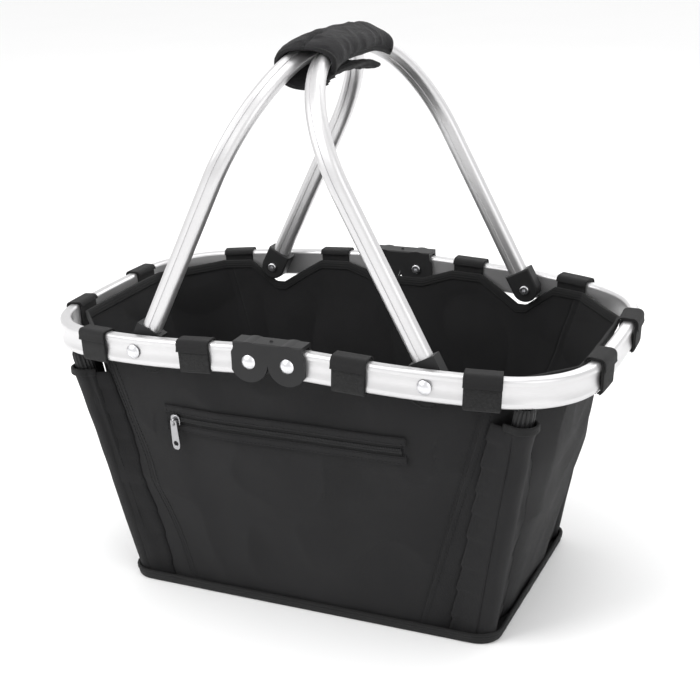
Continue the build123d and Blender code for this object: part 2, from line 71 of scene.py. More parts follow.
# ---------------------------------------------------------------- shader maths
class Net:
    """One material's node tree, and the only way that nodes are added to it."""

    def __init__(self, name):
        self.material = bpy.data.materials.new(name)
        self.material.use_nodes = True
        self.tree = self.material.node_tree
        self.shader = self.tree.nodes["Principled BSDF"]

    def node(self, kind, settings=None, inputs=None, out=0):
        made = self.tree.nodes.new(kind)
        for key, value in (settings or {}).items():
            setattr(made, key, value)
        for key, value in (inputs or {}).items():
            if isinstance(value, Wire):
                self.tree.links.new(value.socket, made.inputs[key])
            else:
                made.inputs[key].default_value = value
        return Wire(self, made.outputs[out])

    def place(self, scale=(1.0, 1.0, 1.0), turn=(0.0, 0.0, 0.0)):
        where = self.node("ShaderNodeTexCoord", out="Object")
        return self.node(
            "ShaderNodeMapping", None, {"Vector": where, "Scale": scale, "Rotation": turn}
        )

    def uv(self, scale=(1.0, 1.0, 1.0)):
        where = self.node("ShaderNodeTexCoord", out="UV")
        return self.node("ShaderNodeMapping", None, {"Vector": where, "Scale": scale})

    def noise(self, where, scale, detail=3.0, rough=0.5):
        return self.node(
            "ShaderNodeTexNoise",
            None,
            {"Vector": where, "Scale": scale, "Detail": detail, "Roughness": rough},
        )

    def wave(self, where, scale, direction, distort=0.0):
        return self.node(
            "ShaderNodeTexWave",
            {"wave_type": "BANDS", "bands_direction": direction, "wave_profile": "SIN"},
            {"Vector": where, "Scale": scale, "Distortion": distort, "Detail": 1.0},
            out="Fac",
        )

    def bump(self, height, strength, distance, under=None):
        inputs = {"Height": height, "Strength": strength, "Distance": distance}
        if under is not None:
            inputs["Normal"] = under
        return self.node("ShaderNodeBump", None, inputs)

    def fixed(self, **values):
        for key, value in values.items():
            self.shader.inputs[key.replace("_", " ")].default_value = value

    def feed(self, **wires):
        for key, wire in wires.items():
            self.tree.links.new(wire.socket, self.shader.inputs[key.replace("_", " ")])


class Wire:
    """A socket with the usual operators; each adds a Math node."""

    def __init__(self, net, socket):
        self.net = net
        self.socket = socket

    def maths(self, operation, first, second=None):
        inputs = {0: first}
        if second is not None:
            inputs[1] = second
        return self.net.node("ShaderNodeMath", {"operation": operation}, inputs)

    def __add__(self, other):
        return self.maths("ADD", self, other)

    def __sub__(self, other):
        return self.maths("SUBTRACT", self, other)

    def __mul__(self, other):
        return self.maths("MULTIPLY", self, other)

    def __rsub__(self, other):
        return self.maths("SUBTRACT", other, self)

    def __pow__(self, other):
        return self.maths("POWER", self, other)

    __radd__ = __add__
    __rmul__ = __mul__


def mix_colours(net, share, low, high):
    """A colour between two, by a share from 0 to 1."""
    made = net.tree.nodes.new("ShaderNodeMix")
    made.data_type = "RGBA"
    colour_inputs = [s for s in made.inputs if s.type == "RGBA"]
    colour_inputs[0].default_value = (*low, 1.0)
    colour_inputs[1].default_value = (*high, 1.0)
    net.tree.links.new(share.socket, made.inputs[0])
    colour_output = [s for s in made.outputs if s.type == "RGBA"][0]
    return Wire(net, colour_output)


# ---------------------------------------------------------------- materials
def woven(name, low, high, pitch, depth, sheen, slub=0.35):
    """Plain weave on the piece's UV map, which is in metres along the cloth."""
    net = Net(name)
    cloth = net.uv()
    turns = 1.0 / pitch / 2.0
    warp = net.wave(cloth, turns, "X")
    weft = net.wave(cloth, turns, "Y")
    across = net.wave(cloth, turns / 2, "X")
    weave = warp * (1.0 - across) + weft * across
    slubs = net.noise(net.uv((0.35, 3.0, 1.0)), 900.0, 2.0)
    cloud = net.noise(net.place(), 14.0, 3.0)
    share = weave * 0.45 + slubs * slub + cloud * 0.25
    net.feed(Base_Color=mix_colours(net, share, low, high))
    net.feed(Roughness=0.62 + cloud * 0.2)
    fine = net.bump(weave, 0.6, depth)
    soft = net.bump(net.noise(net.place(), 60.0, 4.0), 0.35, 0.0012, fine)
    net.feed(Normal=soft)
    net.fixed(Sheen_Weight=sheen, Sheen_Roughness=0.45, Specular_IOR_Level=0.22)
    return net.material


def anodised():
    """Satin aluminium, drawn lengthwise, with faint handling marks."""
    net = Net("anodised_aluminium")
    streak = net.noise(net.place((1.0, 1.0, 14.0)), 160.0, 2.0)
    cloud = net.noise(net.place(), 22.0, 4.0)
    marks = net.noise(net.place((3.0, 1.0, 1.0)), 320.0, 5.0, 0.7)
    share = streak * 0.5 + cloud * 0.5
    net.feed(Base_Color=mix_colours(net, share, (0.56, 0.555, 0.56), (0.70, 0.695, 0.70)))
    net.feed(Roughness=0.27 + cloud * 0.12 + marks * 0.08)
    net.feed(Normal=net.bump(streak + marks * 0.4, 0.08, 0.0002))
    net.fixed(Metallic=0.85, Specular_IOR_Level=0.4)
    return net.material


def plastic(name, tone, rough, grain_scale=1400.0, grain=0.25):
    net = Net(name)
    grain_noise = net.noise(net.place(), grain_scale, 2.0)
    cloud = net.noise(net.place(), 30.0, 3.0)
    scuff = net.noise(net.place((1.0, 4.0, 1.0)), 240.0, 5.0, 0.75)
    low = tuple(c * 0.8 for c in tone)
    high = tuple(min(1.0, c * 1.5 + 0.004) for c in tone)
    net.feed(Base_Color=mix_colours(net, cloud * 0.6 + scuff * 0.4, low, high))
    net.feed(Roughness=rough + scuff * 0.16)
    net.feed(Normal=net.bump(grain_noise, grain, 0.00025))
    net.fixed(Specular_IOR_Level=0.25)
    return net.material


def bright_metal(name, tone, rough):
    net = Net(name)
    cloud = net.noise(net.place(), 130.0, 4.0)
    fine = net.noise(net.place(), 1800.0, 2.0)
    low = tuple(c * 0.82 for c in tone)
    net.feed(Base_Color=mix_colours(net, cloud, low, tone))
    net.feed(Roughness=rough + cloud * 0.18)
    net.feed(Normal=net.bump(cloud + fine * 0.3, 0.12, 0.0002))
    net.fixed(Metallic=1.0)
    return net.material


def fuzzy(name, low, high):
    """The loop side of hook-and-loop tape."""
    net = Net(name)
    loops = net.noise(net.place(), 1500.0, 5.0, 0.8)
    clumps = net.noise(net.place(), 420.0, 4.0, 0.7)
    share = (loops * 0.7 + clumps * 0.5) ** 2.2
    net.feed(Base_Color=mix_colours(net, share, low, high))
    net.feed(Roughness=0.8 + clumps * 0.15)
    net.feed(Normal=net.bump(loops + clumps, 0.9, 0.0012))
    net.fixed(Sheen_Weight=0.08, Sheen_Roughness=0.5, Specular_IOR_Level=0.1)
    return net.material


BAG = woven("bag_cloth", (0.0034, 0.0034, 0.0037), (0.0200, 0.0196, 0.0208), 0.00085, 0.0009, 0.03)
LINING = woven("lining_cloth", (0.003, 0.003, 0.0033), (0.012, 0.012, 0.0125), 0.0006, 0.0004, 0.02)
TAPE = woven("binding_tape", (0.004, 0.004, 0.0042), (0.018, 0.018, 0.0185), 0.0009, 0.0006, 0.04)
WEBBING = woven("webbing", (0.004, 0.004, 0.0042), (0.022, 0.0215, 0.0225), 0.0011, 0.0009, 0.04, 0.2)
LOOPS = fuzzy("loop_tape", (0.004, 0.004, 0.004), (0.05, 0.05, 0.051))
PAD = woven("grip_cloth", (0.004, 0.0039, 0.0043), (0.022, 0.0212, 0.0235), 0.00085, 0.0008, 0.04)
THREAD = plastic("thread", (0.011, 0.011, 0.0115), 0.7, 2600.0, 0.6)
ALUMINIUM = anodised()
CLIP_PLASTIC = plastic("clip_plastic", (0.012, 0.012, 0.0125), 0.42)
POLE_PLASTIC = plastic("pole_plastic", (0.012, 0.012, 0.0125), 0.3)
BOARD = plastic("board_cover", (0.02, 0.02, 0.021), 0.6, 800.0, 0.5)
NYLON = plastic("zip_nylon", (0.016, 0.016, 0.0165), 0.35, 2600.0, 0.2)
RIVET = bright_metal("rivet_steel", (0.80, 0.80, 0.82), 0.2)
ZIP_METAL = bright_metal("zip_metal", (0.42, 0.42, 0.43), 0.2)


# ---------------------------------------------------------------- mesh helpers
def solid_from(name, verts, faces, material, body, uvs=None, smooth=True):
    """A mesh object at the origin that rides on a body."""
    mesh = bpy.data.meshes.new(name)
    mesh.from_pydata([tuple(v) for v in verts], [], faces)
    mesh.validate()
    if uvs is not None:
        layer = mesh.uv_layers.new(name="cloth")
        for loop in mesh.loops:
            layer.data[loop.index].uv = uvs[loop.vertex_index]
    for polygon in mesh.polygons:
        polygon.use_smooth = smooth
    made = bpy.data.objects.new(name, mesh)
    bpy.context.scene.collection.objects.link(made)
    mesh.materials.append(material)
    made["rides_on"] = body
    return made


def grid_faces(columns, rows, closed=False):
    """Quads of a grid stored column by column."""
    faces = []
    last = columns if closed else columns - 1
    for i in range(last):
        k = (i + 1) % columns
        for j in range(rows - 1):
            faces.append((i * rows + j, k * rows + j, k * rows + j + 1, i * rows + j + 1))
    return faces


def cloth_grid(name, points, lengths, material, body, thick, closed=False, inward=True):
    """A sheet from points[column][row], thickened; UVs are metres along and up the cloth."""
    columns, rows = points.shape[:2]
    verts = points.reshape(-1, 3)
    uvs = lengths.reshape(-1, 2)
    made = solid_from(name, verts, grid_faces(columns, rows, closed), material, body, uvs)
    wall = made.modifiers.new("thickness", "SOLIDIFY")
    wall.thickness = thick
    wall.offset = -1.0 if inward else 1.0
    wall.use_even_offset = False
    return made


def bake(made):
    """Apply all modifiers, so that the plain mesh is what rides."""
    graph = bpy.context.evaluated_depsgraph_get()
    mesh = bpy.data.meshes.new_from_object(made.evaluated_get(graph))
    made.modifiers.clear()
    made.data = mesh
    return made


def fold_with_rim(made):
    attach(made, made["rides_on"])
    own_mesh(made)
    return made


def tube_faces(columns, rows):
    """Quads of a closed profile swept along an open path, with both ends capped."""
    faces = []
    for i in range(columns - 1):
        for j in range(rows):
            k = (j + 1) % rows
            faces.append((i * rows + j, i * rows + k, (i + 1) * rows + k, (i + 1) * rows + j))
    faces.append(tuple(range(rows))[::-1])
    faces.append(tuple((columns - 1) * rows + j for j in range(rows)))
    return faces


def outward(made):
    """Recalculate the normals of a closed piece."""
    work = bmesh.new()
    work.from_mesh(made.data)
    bmesh.ops.remove_doubles(work, verts=work.verts, dist=1e-7)
    bmesh.ops.recalc_face_normals(work, faces=work.faces)
    work.to_mesh(made.data)
    work.free()
    return made


def rounded_profile(width, height, radius, per_corner=4):
    """A rounded rectangle's outline, counter-clockwise, centred on the origin."""
    outline = []
    for k, (sx, sy) in enumerate(((1, 1), (-1, 1), (-1, -1), (1, -1))):
        cx = sx * (width / 2 - radius)
        cy = sy * (height / 2 - radius)
        for j in range(per_corner + 1):
            angle = math.pi / 2 * (k + j / per_corner)
            outline.append((cx + radius * math.cos(angle), cy + radius * math.sin(angle)))
    return outline


# ---------------------------------------------------------------- outlines
class Outline:
    """The same three-arc outline as the frame's rim: side, corner and end arcs."""

    def __init__(self, length, width, straight, side, corner, end):
        self.width = width
        self.straight = straight
        self.radii = (side, corner, end)
        side_c = np.array([straight, width - side])
        end_c = np.array([length - end, 0.0])
        near = side - corner
        far = end - corner
        span = np.linalg.norm(end_c - side_c)
        along = (near**2 - far**2 + span**2) / (2 * span)
        off = math.sqrt(near**2 - along**2)
        u = (end_c - side_c) / span
        v = np.array([-u[1], u[0]])
        options = [side_c + along * u + s * off * v for s in (-1, 1)]
        self.centres = (side_c, max(options, key=sum), end_c)
        d1 = self.centres[1] - side_c
        d2 = self.centres[1] - end_c
        self.turns = (math.atan2(d1[1], d1[0]), math.atan2(d2[1], d2[0]))

    def right_half(self, inset, shares):
        """Points from the front middle round the right end to the back middle.
        shares[k] are the parameters on straight, side arc, corner arc and half the end arc."""
        side_c, corner_c, end_c = self.centres
        side_r, corner_r, end_r = (r - inset for r in self.radii)
        a1, a2 = self.turns
        y = self.width - inset
        back = []
        for t in shares[0]:
            back.append((self.straight * t, y))
        for t in shares[1]:
            a = math.pi / 2 + (a1 - math.pi / 2) * t
            back.append((side_c[0] + side_r * math.cos(a), side_c[1] + side_r * math.sin(a)))
        for t in shares[2]:
            a = a1 + (a2 - a1) * t
            back.append((corner_c[0] + corner_r * math.cos(a), corner_c[1] + corner_r * math.sin(a)))
        for t in shares[3]:
            a = a2 * (1 - t)
            back.append((end_c[0] + end_r * math.cos(a), end_r * math.sin(a)))
        front = [(x, -y) for x, y in back]
        return np.array(front + back[-2::-1])

    def loop(self, inset, shares):
        right = self.right_half(inset, shares)
        left = right[1:-1][::-1] * np.array([-1.0, 1.0])
        return np.vstack([right, left])


def steps(count, first=True):
    return [k / count for k in range(0 if first else 1, count + 1)]


RIM = Outline(0.240, 0.144, 0.074, 0.412, 0.0785, 1.125)
BASE = Outline(0.1656, 0.1027, 0.070, 2.0, 0.062, 2.0)
SHARES = [steps(34), steps(42, False), steps(40, False), steps(24, False)]


def resample(points, count, closed=False):
    """Evenly spaced points along a polyline."""
    points = np.asarray(points, float)
    if closed:
        points = np.vstack([points, points[:1]])
    lengths = np.concatenate([[0], np.cumsum(np.linalg.norm(np.diff(points, axis=0), axis=1))])
    want = np.linspace(0, lengths[-1], count + (1 if closed else 0))
    if closed:
        want = want[:-1]
    return np.stack([np.interp(want, lengths, points[:, k]) for k in range(points.shape[1])], 1)


def droop_point(p):
    """Where a point of the flat rim goes when its half leans down about its clip rivet."""
    side = 1.0 if p[0] >= 0 else -1.0
    x = abs(p[0]) - HINGE_HALF
    z = p[2] - RIVET_Z
    return np.array(
        [
            side * (HINGE_HALF + x * math.cos(DROOP) + z * math.sin(DROOP)),
            p[1],
            RIVET_Z - x * math.sin(DROOP) + z * math.cos(DROOP),
        ]
    )


def rim_mid(x):
    return RIVET_Z - math.sin(DROOP) * max(abs(x) - HINGE_HALF, 0.0)


# ---------------------------------------------------------------- the bag's surface
LOW_RING = BASE.loop(0.0, SHARES)
TOP_RING = RIM.loop(RIM_THICK + 0.0035, SHARES)
COLUMNS = len(TOP_RING)
ROWS = 96


def mouth_height(x):
    """The bag's top edge: up at the straps, dipping under the clips and the handle caps."""
    x = abs(x)
    half = STRAP_WIDTH / 2
    dip = rim_mid(HANDLE_X) - 0.0165
    cap = 0.0045
    ends = [
        (0.0, RIVET_Z - 0.008),
        (HINGE_HALF + 0.007, RIVET_Z - 0.008),
        (INNER_STRAP_X - half, rim_mid(INNER_STRAP_X) + 0.004),
        (INNER_STRAP_X + half, rim_mid(INNER_STRAP_X) + 0.003),
        (HANDLE_X - cap, dip),
        (HANDLE_X + cap, dip),
        (OUTER_STRAP_X - half, rim_mid(OUTER_STRAP_X) + 0.005),
        (OUTER_STRAP_X + half, rim_mid(OUTER_STRAP_X) + 0.004),
        (0.30, rim_mid(0.24) + 0.004),
    ]
    xs, zs = zip(*ends)
    return float(np.interp(x, xs, zs))


def strap_columns():
    """Columns of the ring where the mouth is tied to the rim."""
    tied = []
    for i, (x, y) in enumerate(TOP_RING):
        long_side = abs(y) > 0.095
        half = STRAP_WIDTH / 2
        near_inner = long_side and abs(abs(x) - INNER_STRAP_X) < half
        near_outer = long_side and abs(abs(x) - OUTER_STRAP_X) < half
        near_end = abs(x) > 0.2 and abs(abs(y) - END_STRAP_Y) < half
        if near_inner or near_outer or near_end:
            tied.append(i)
    return tied


def chord_pull():
    """How far the mouth is drawn in, so that it runs straight from strap to strap."""
    tied = set(strap_columns())
    pull = np.zeros((COLUMNS, 2))
    for i in range(COLUMNS):
        if i in tied:
            continue
        a = i
        while a % COLUMNS not in tied:
            a -= 1
        b = i
        while b % COLUMNS not in tied:
            b += 1
        pa = TOP_RING[a % COLUMNS]
        pb = TOP_RING[b % COLUMNS]
        chord = pb - pa
        t = np.dot(TOP_RING[i] - pa, chord) / np.dot(chord, chord)
        pull[i] = (pa + chord * t) - TOP_RING[i]
    return pull


PULL = chord_pull()


def smooth(low, high, value):
    t = min(max((value - low) / (high - low), 0.0), 1.0)
    return t * t * (3 - 2 * t)


def ring_normal(i):
    along = TOP_RING[(i + 1) % COLUMNS] - TOP_RING[i - 1]
    out = np.array([along[1], -along[0]])
    return out / np.linalg.norm(out)


NORMALS = np.array([ring_normal(i) for i in range(COLUMNS)])


def creases(p, t):
    """Outward movement of the cloth from sagging and handling, in metres."""
    x, y, z = p
    hang = math.sin(math.pi * min(max(t, 0.0), 1.0)) ** 0.6
    drift = Vector((x * 9.0, y * 9.0, z * 5.0 + 3.1))
    broad = noise.noise(drift)
    slant = Vector((x * 16.0 + z * 7.0, y * 16.0 + 4.0, z * 13.0 - x * 6.0))
    folds = 1.0 - abs(noise.noise(slant)) * 2.4
    ripple = noise.noise(Vector((x * 40.0, y * 40.0 + 9.0, z * 26.0)))
    near_base = math.exp(-((z - 0.012) / 0.016) ** 2)
    buckle = noise.noise(Vector((x * 26.0, y * 26.0, 2.0)))
    near_zip = math.exp(-((z - 0.1675) / 0.016) ** 2) if y < -0.09 and abs(x) < 0.125 else 0.0
    calm = 1.0 - 0.8 * near_zip
    soft = 0.0052 * broad + 0.0036 * (folds - 0.5) + 0.0009 * ripple
    return hang * calm * soft + 0.0020 * near_base * buckle


def wall_point(i, t, lift=0.0):
    """Column i of the ring at share t of the way from the base to the mouth."""
    high = mouth_height(TOP_RING[i][0])
    z = BAG_LOW + (high - BAG_LOW) * t
    s = (z - BAG_LOW) / (BAG_TOP - BAG_LOW)
    flat = LOW_RING[i] * (1 - s) + TOP_RING[i] * s
    flat = flat + PULL[i] * smooth(0.35, 1.0, t) ** 1.5
    p = np.array([flat[0], flat[1], z])
    move = creases(p, t) * (1.0 - 0.75 * smooth(0.9, 1.0, t)) + lift
    p[:2] += NORMALS[i] * move
    return p


WALL = np.array([[wall_point(i, j / (ROWS - 1)) for j in range(ROWS)] for i in range(COLUMNS)])


def ring_lengths():
    """Distance round the mouth to each column, for the weave's UVs."""
    steps_round = np.linalg.norm(np.diff(np.vstack([TOP_RING, TOP_RING[:1]]), axis=0), axis=1)
    return np.concatenate([[0], np.cumsum(steps_round)])


ROUND = ring_lengths()


def wall_uvs(columns, rows):
    """UVs in metres for a run of columns, following the wall's own lengths."""
    uvs = np.zeros((len(columns), len(rows), 2))
    for a, i in enumerate(columns):
        for b, j in enumerate(rows):
            p = WALL[i % COLUMNS, j]
            uvs[a, b] = (ROUND[i % COLUMNS] + (ROUND[-1] if i >= COLUMNS else 0.0), p[2])
    return uvs


def columns_between(first, last):
    """Columns from first to last, counting on through the start of the ring."""
    if last < first:
        last += COLUMNS
    return list(range(first, last + 1))


def column_near(x, y):
    gaps = np.hypot(TOP_RING[:, 0] - x, TOP_RING[:, 1] - y)
    return int(np.argmin(gaps))


SEAM_X = 0.176
SEAM_Y = 0.121
SEAMS = {
    "right_front": column_near(SEAM_X, -SEAM_Y),
    "right_back": column_near(SEAM_X, SEAM_Y),
    "left_back": column_near(-SEAM_X, SEAM_Y),
    "left_front": column_near(-SEAM_X, -SEAM_Y),
}
PANELS = {
    "bag_front_cloth": ("left_front", "right_front", "bag_front_panel"),
    "bag_end_cloth_right": ("right_front", "right_back", "bag_end_panel_right"),
    "bag_back_cloth": ("right_back", "left_back", "bag_back_panel"),
    "bag_end_cloth_left": ("left_back", "left_front", "bag_end_panel_left"),
}


def bag_panels():
    made = []
    rows = list(range(ROWS))
    for name, (first, last, node) in PANELS.items():
        columns = columns_between(SEAMS[first], SEAMS[last])
        points = np.array([[WALL[i % COLUMNS, j] for j in rows] for i in columns])
        panel = cloth_grid(name, points, wall_uvs(columns, rows), BAG, ROOT, CLOTH)
        bake(panel)
        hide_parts(node)
        made.append(panel)
    return made


# ---------------------------------------------------------------- stitches
def stitch_tree():
    """Short thread capsules laid along a polyline, with named sizes."""
    tree = bpy.data.node_groups.new("stitch_row", "GeometryNodeTree")
    face = tree.interface
    face.new_socket("Geometry", in_out="INPUT", socket_type="NodeSocketGeometry")
    for name, value in (("Pitch", 0.0035), ("Length", 0.0022), ("Thread", 0.0004)):
        made = face.new_socket(name, in_out="INPUT", socket_type="NodeSocketFloat")
        made.default_value = value
    face.new_socket("Finish", in_out="INPUT", socket_type="NodeSocketMaterial")
    face.new_socket("Geometry", in_out="OUTPUT", socket_type="NodeSocketGeometry")
    nodes = tree.nodes
    links = tree.links
    start = nodes.new("NodeGroupInput")
    end = nodes.new("NodeGroupOutput")
    curve = nodes.new("GeometryNodeMeshToCurve")
    even = nodes.new("GeometryNodeResampleCurve")
    even.mode = "LENGTH"
    points = nodes.new("GeometryNodeInstanceOnPoints")
    thread = nodes.new("GeometryNodeMeshUVSphere")
    thread.inputs["Segments"].default_value = 6
    thread.inputs["Rings"].default_value = 5
    thread.inputs["Radius"].default_value = 1.0
    size = nodes.new("ShaderNodeCombineXYZ")
    half = nodes.new("ShaderNodeMath")
    half.operation = "MULTIPLY"
    half.inputs[1].default_value = 0.5
    tangent = nodes.new("GeometryNodeInputTangent")
    turn = nodes.new("FunctionNodeAlignRotationToVector")
    turn.axis = "Z"
    real = nodes.new("GeometryNodeRealizeInstances")
    finish = nodes.new("GeometryNodeSetMaterial")
    links.new(start.outputs["Geometry"], curve.inputs["Mesh"])
    links.new(curve.outputs["Curve"], even.inputs["Curve"])
    links.new(start.outputs["Pitch"], even.inputs["Length"])
    links.new(even.outputs["Curve"], points.inputs["Points"])
    links.new(thread.outputs["Mesh"], points.inputs["Instance"])
    links.new(start.outputs["Length"], half.inputs[0])
    links.new(start.outputs["Thread"], size.inputs["X"])
    links.new(start.outputs["Thread"], size.inputs["Y"])
    links.new(half.outputs[0], size.inputs["Z"])
    links.new(size.outputs[0], points.inputs["Scale"])
    links.new(tangent.outputs[0], turn.inputs["Vector"])
    links.new(turn.outputs[0], points.inputs["Rotation"])
    links.new(points.outputs["Instances"], real.inputs["Geometry"])
    links.new(real.outputs["Geometry"], finish.inputs["Geometry"])
    links.new(start.outputs["Finish"], finish.inputs["Material"])
    links.new(finish.outputs["Geometry"], end.inputs["Geometry"])
    return tree


STITCHES = stitch_tree()


def set_inputs(modifier, **values):
    for item in modifier.node_group.interface.items_tree:
        if item.in_out == "INPUT" and item.name in values:
            modifier[item.identifier] = values[item.name]


def stitch_rows(name, lines, body, pitch=0.0034, length=0.0023, thread=0.00038):
    """Rows of stitches along polylines, as one plain mesh."""
    verts = []
    edges = []
    for line in lines:
        first = len(verts)
        verts += [tuple(p) for p in line]
        edges += [(first + k, first + k + 1) for k in range(len(line) - 1)]
    mesh = bpy.data.meshes.new(name)
    mesh.from_pydata(verts, edges, [])
    made = bpy.data.objects.new(name, mesh)
    bpy.context.scene.collection.objects.link(made)
    rows = made.modifiers.new("stitches", "NODES")
    rows.node_group = STITCHES
    set_inputs(rows, Pitch=pitch, Length=length, Thread=thread, Finish=THREAD)
    bake(made)
    for polygon in made.data.polygons:
        polygon.use_smooth = True
    made["rides_on"] = body
    return made


def on_wall(i, t, lift):
    """A point just outside the cloth, for what is sewn on it."""
    return wall_point(i % COLUMNS, t, lift)


# ---------------------------------------------------------------- hem and binding
def mouth_hem():
    """The folded hem round the mouth: a soft rounded band that follows the cut edge."""
    profile = []
    for a, b in rounded_profile(0.0034, 0.0085, 0.0015, 3):
        profile.append((a, b))
    columns = []
    for i in range(COLUMNS):
        top = WALL[i, ROWS - 1]
        below = WALL[i, ROWS - 5]
        up = top - below
        up /= np.linalg.norm(up)
        out = np.array([NORMALS[i][0], NORMALS[i][1], 0.0])
        out -= up * np.dot(out, up)
        out /= np.linalg.norm(out)
        wobble = 0.0004 * noise.noise(Vector((i * 0.11, 4.0, 1.0)))
        middle = top - up * 0.0036 - out * (CLOTH / 2 - wobble)
        columns.append([middle + out * a + up * b for a, b in profile])
    points = np.array(columns)
    rows = len(profile)
    closed = np.concatenate([points, points[:, :1]], axis=1)
    faces = grid_faces(COLUMNS, rows + 1, True)
    uvs = np.zeros((COLUMNS, rows + 1, 2))
    uvs[:, :, 0] = ROUND[:-1, None]
    uvs[:, :, 1] = np.linspace(0, 0.022, rows + 1)[None, :]
    hem = solid_from("mouth_hem_cloth", closed.reshape(-1, 3), faces, TAPE, ROOT, uvs.reshape(-1, 2))
    outward(hem)
    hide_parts("mouth_hem")
    return hem


def base_loop(inset, z, corner=0.020, per_side=30, per_corner=9):
    """A rounded rectangle round the base, as points in order."""
    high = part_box("base_binding")[1]
    hx = high[0] - inset
    hy = high[1] - inset
    r = max(corner - inset, 0.002)
    loop = []
    for k, (sx, sy) in enumerate(((1, 1), (-1, 1), (-1, -1), (1, -1))):
        for j in range(per_corner + 1):
            angle = math.pi / 2 * (k + j / per_corner)
            loop.append((sx * (hx - r) + r * math.cos(angle), sy * (hy - r) + r * math.sin(angle)))
    return np.array([(x, y, z) for x, y in resample(loop, 2 * per_side + 130, True)])


def base_binding():
    """Sewn edge tape round the foot of the bag, slightly puckered."""
    outer = base_loop(0.0, 0.0)
    centre = outer.mean(axis=0)
    count = len(outer)
    profile = rounded_profile(0.0030, 0.0094, 0.0014, 3)
    columns = []
    for i in range(count):
        along = outer[(i + 1) % count] - outer[i - 1]
        out = np.array([along[1], -along[0], 0.0])
        out /= np.linalg.norm(out)
        pucker = 0.0005 * noise.noise(Vector((outer[i][0] * 60, outer[i][1] * 60, 0)))
        lean = 0.0022
        base = outer[i] - out * (0.0016 - pucker)
        base[2] = 0.0051
        columns.append(
            [base + out * (a + lean * (b / 0.0094)) + np.array([0, 0, b]) for a, b in profile]
        )
    points = np.array(columns)
    closed = np.concatenate([points, points[:, :1]], axis=1)
    rows = len(profile) + 1
    lengths = np.arange(count) * np.linalg.norm(outer[1] - outer[0])
    uvs = np.zeros((count, rows, 2))
    uvs[:, :, 0] = lengths[:, None]
    uvs[:, :, 1] = np.linspace(0, 0.024, rows)[None, :]
    faces = grid_faces(count, rows, True)
    verts = closed.reshape(-1, 3)
    tape = solid_from("base_binding_cloth", verts, faces, TAPE, ROOT, uvs.reshape(-1, 2))
    outward(tape)
    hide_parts("base_binding")
    line = [outer[i % count] + np.array([0, 0, 0.0066]) for i in range(count + 1)]
    line = [p + (p - centre) / np.linalg.norm(p - centre) * 0.0004 for p in line]
    return tape, line


def flat_slab(name, inset, low, high, material, nodes, crown=0.0, puckers=0.0):
    """A padded-edge slab inside the base outline."""
    ring = base_loop(inset, 0.0)
    count = len(ring)
    shares = [0.0, 0.35, 0.7, 0.9, 0.97, 1.0]
    verts = []
    for top in (True, False):
        for s in shares:
            for p in ring:
                edge = 1.0 - smooth(0.93, 1.0, s) * 0.6
                half = (high - low) / 2 * edge
                z = (high + low) / 2 + (half if top else -half)
                if top:
                    ripple = noise.noise(Vector((p[0] * s * 22, p[1] * s * 22, 5.0)))
                    z += crown * (1 - s * s) + puckers * ripple
                verts.append((p[0] * s, p[1] * s, z))
    rings = len(shares)
    faces = []
    for side in (0, 1):
        first = side * rings * count
        for r in range(1, rings - 1):
            for k in range(count):
                m = (k + 1) % count
                here = first + r * count
                beyond = here + count
                quad = (here + k, here + m, beyond + m, beyond + k)
                faces.append(quad if side else quad[::-1])
        fan = tuple(first + count + k for k in range(count))
        faces.append(fan if side == 0 else fan[::-1])
    for k in range(count):
        m = (k + 1) % count
        a = (rings - 1) * count
        b = (2 * rings - 1) * count
        faces.append((a + k, a + m, b + m, b + k))
    uvs = [(v[0], v[1]) for v in verts]
    made = solid_from(name, verts, faces, material, ROOT, uvs, smooth=False)
    outward(made)
    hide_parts(*nodes)
    return made


# ---------------------------------------------------------------- corner poles and pockets
def pole_line(side_x, side_y):
    """Foot and top of a corner pole's middle line, from the frame's own pole."""
    which = ("right" if side_x > 0 else "left") + ("_back" if side_y > 0 else "_front")
    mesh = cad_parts["corner_pole_" + which].data
    cloud = np.array([v.co for v in mesh.vertices])
    low = cloud[cloud[:, 2] < cloud[:, 2].min() + 0.0005]
    high = cloud[cloud[:, 2] > cloud[:, 2].max() - 0.0005]
    foot = (low.min(axis=0) + low.max(axis=0)) / 2
    top = (high.min(axis=0) + high.max(axis=0)) / 2
    return which, foot, top


def corner_pole(side_x, side_y):
    """A ribbed plastic pole with a rounded top."""
    which, foot, top = pole_line(side_x, side_y)
    flutes = 14
    around = flutes * 6
    lengths = [0.0, 0.004, 0.5, 0.975, 0.99, 1.0]
    sizes = [0.86, 1.0, 1.0, 1.0, 0.96, 0.84]
    columns = []
    for share, size in zip(lengths, sizes):
        centre = foot + (top - foot) * share
        ring = []
        for k in range(around):
            angle = 2 * math.pi * k / around
            r = 0.0084 * size * (1 - 0.13 * (0.5 - 0.5 * math.cos(flutes * angle)) ** 2)
            ring.append(centre + np.array([r * math.cos(angle), r * math.sin(angle), 0.0]))
        columns.append(ring)
    verts = np.array(columns).reshape(-1, 3)
    faces = tube_faces(len(lengths), around)
    pole = solid_from("corner_pole_ribbed_" + which, verts, faces, POLE_PLASTIC, ROOT, smooth=False)
    outward(pole)
    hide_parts("corner_pole_" + which)
    return pole


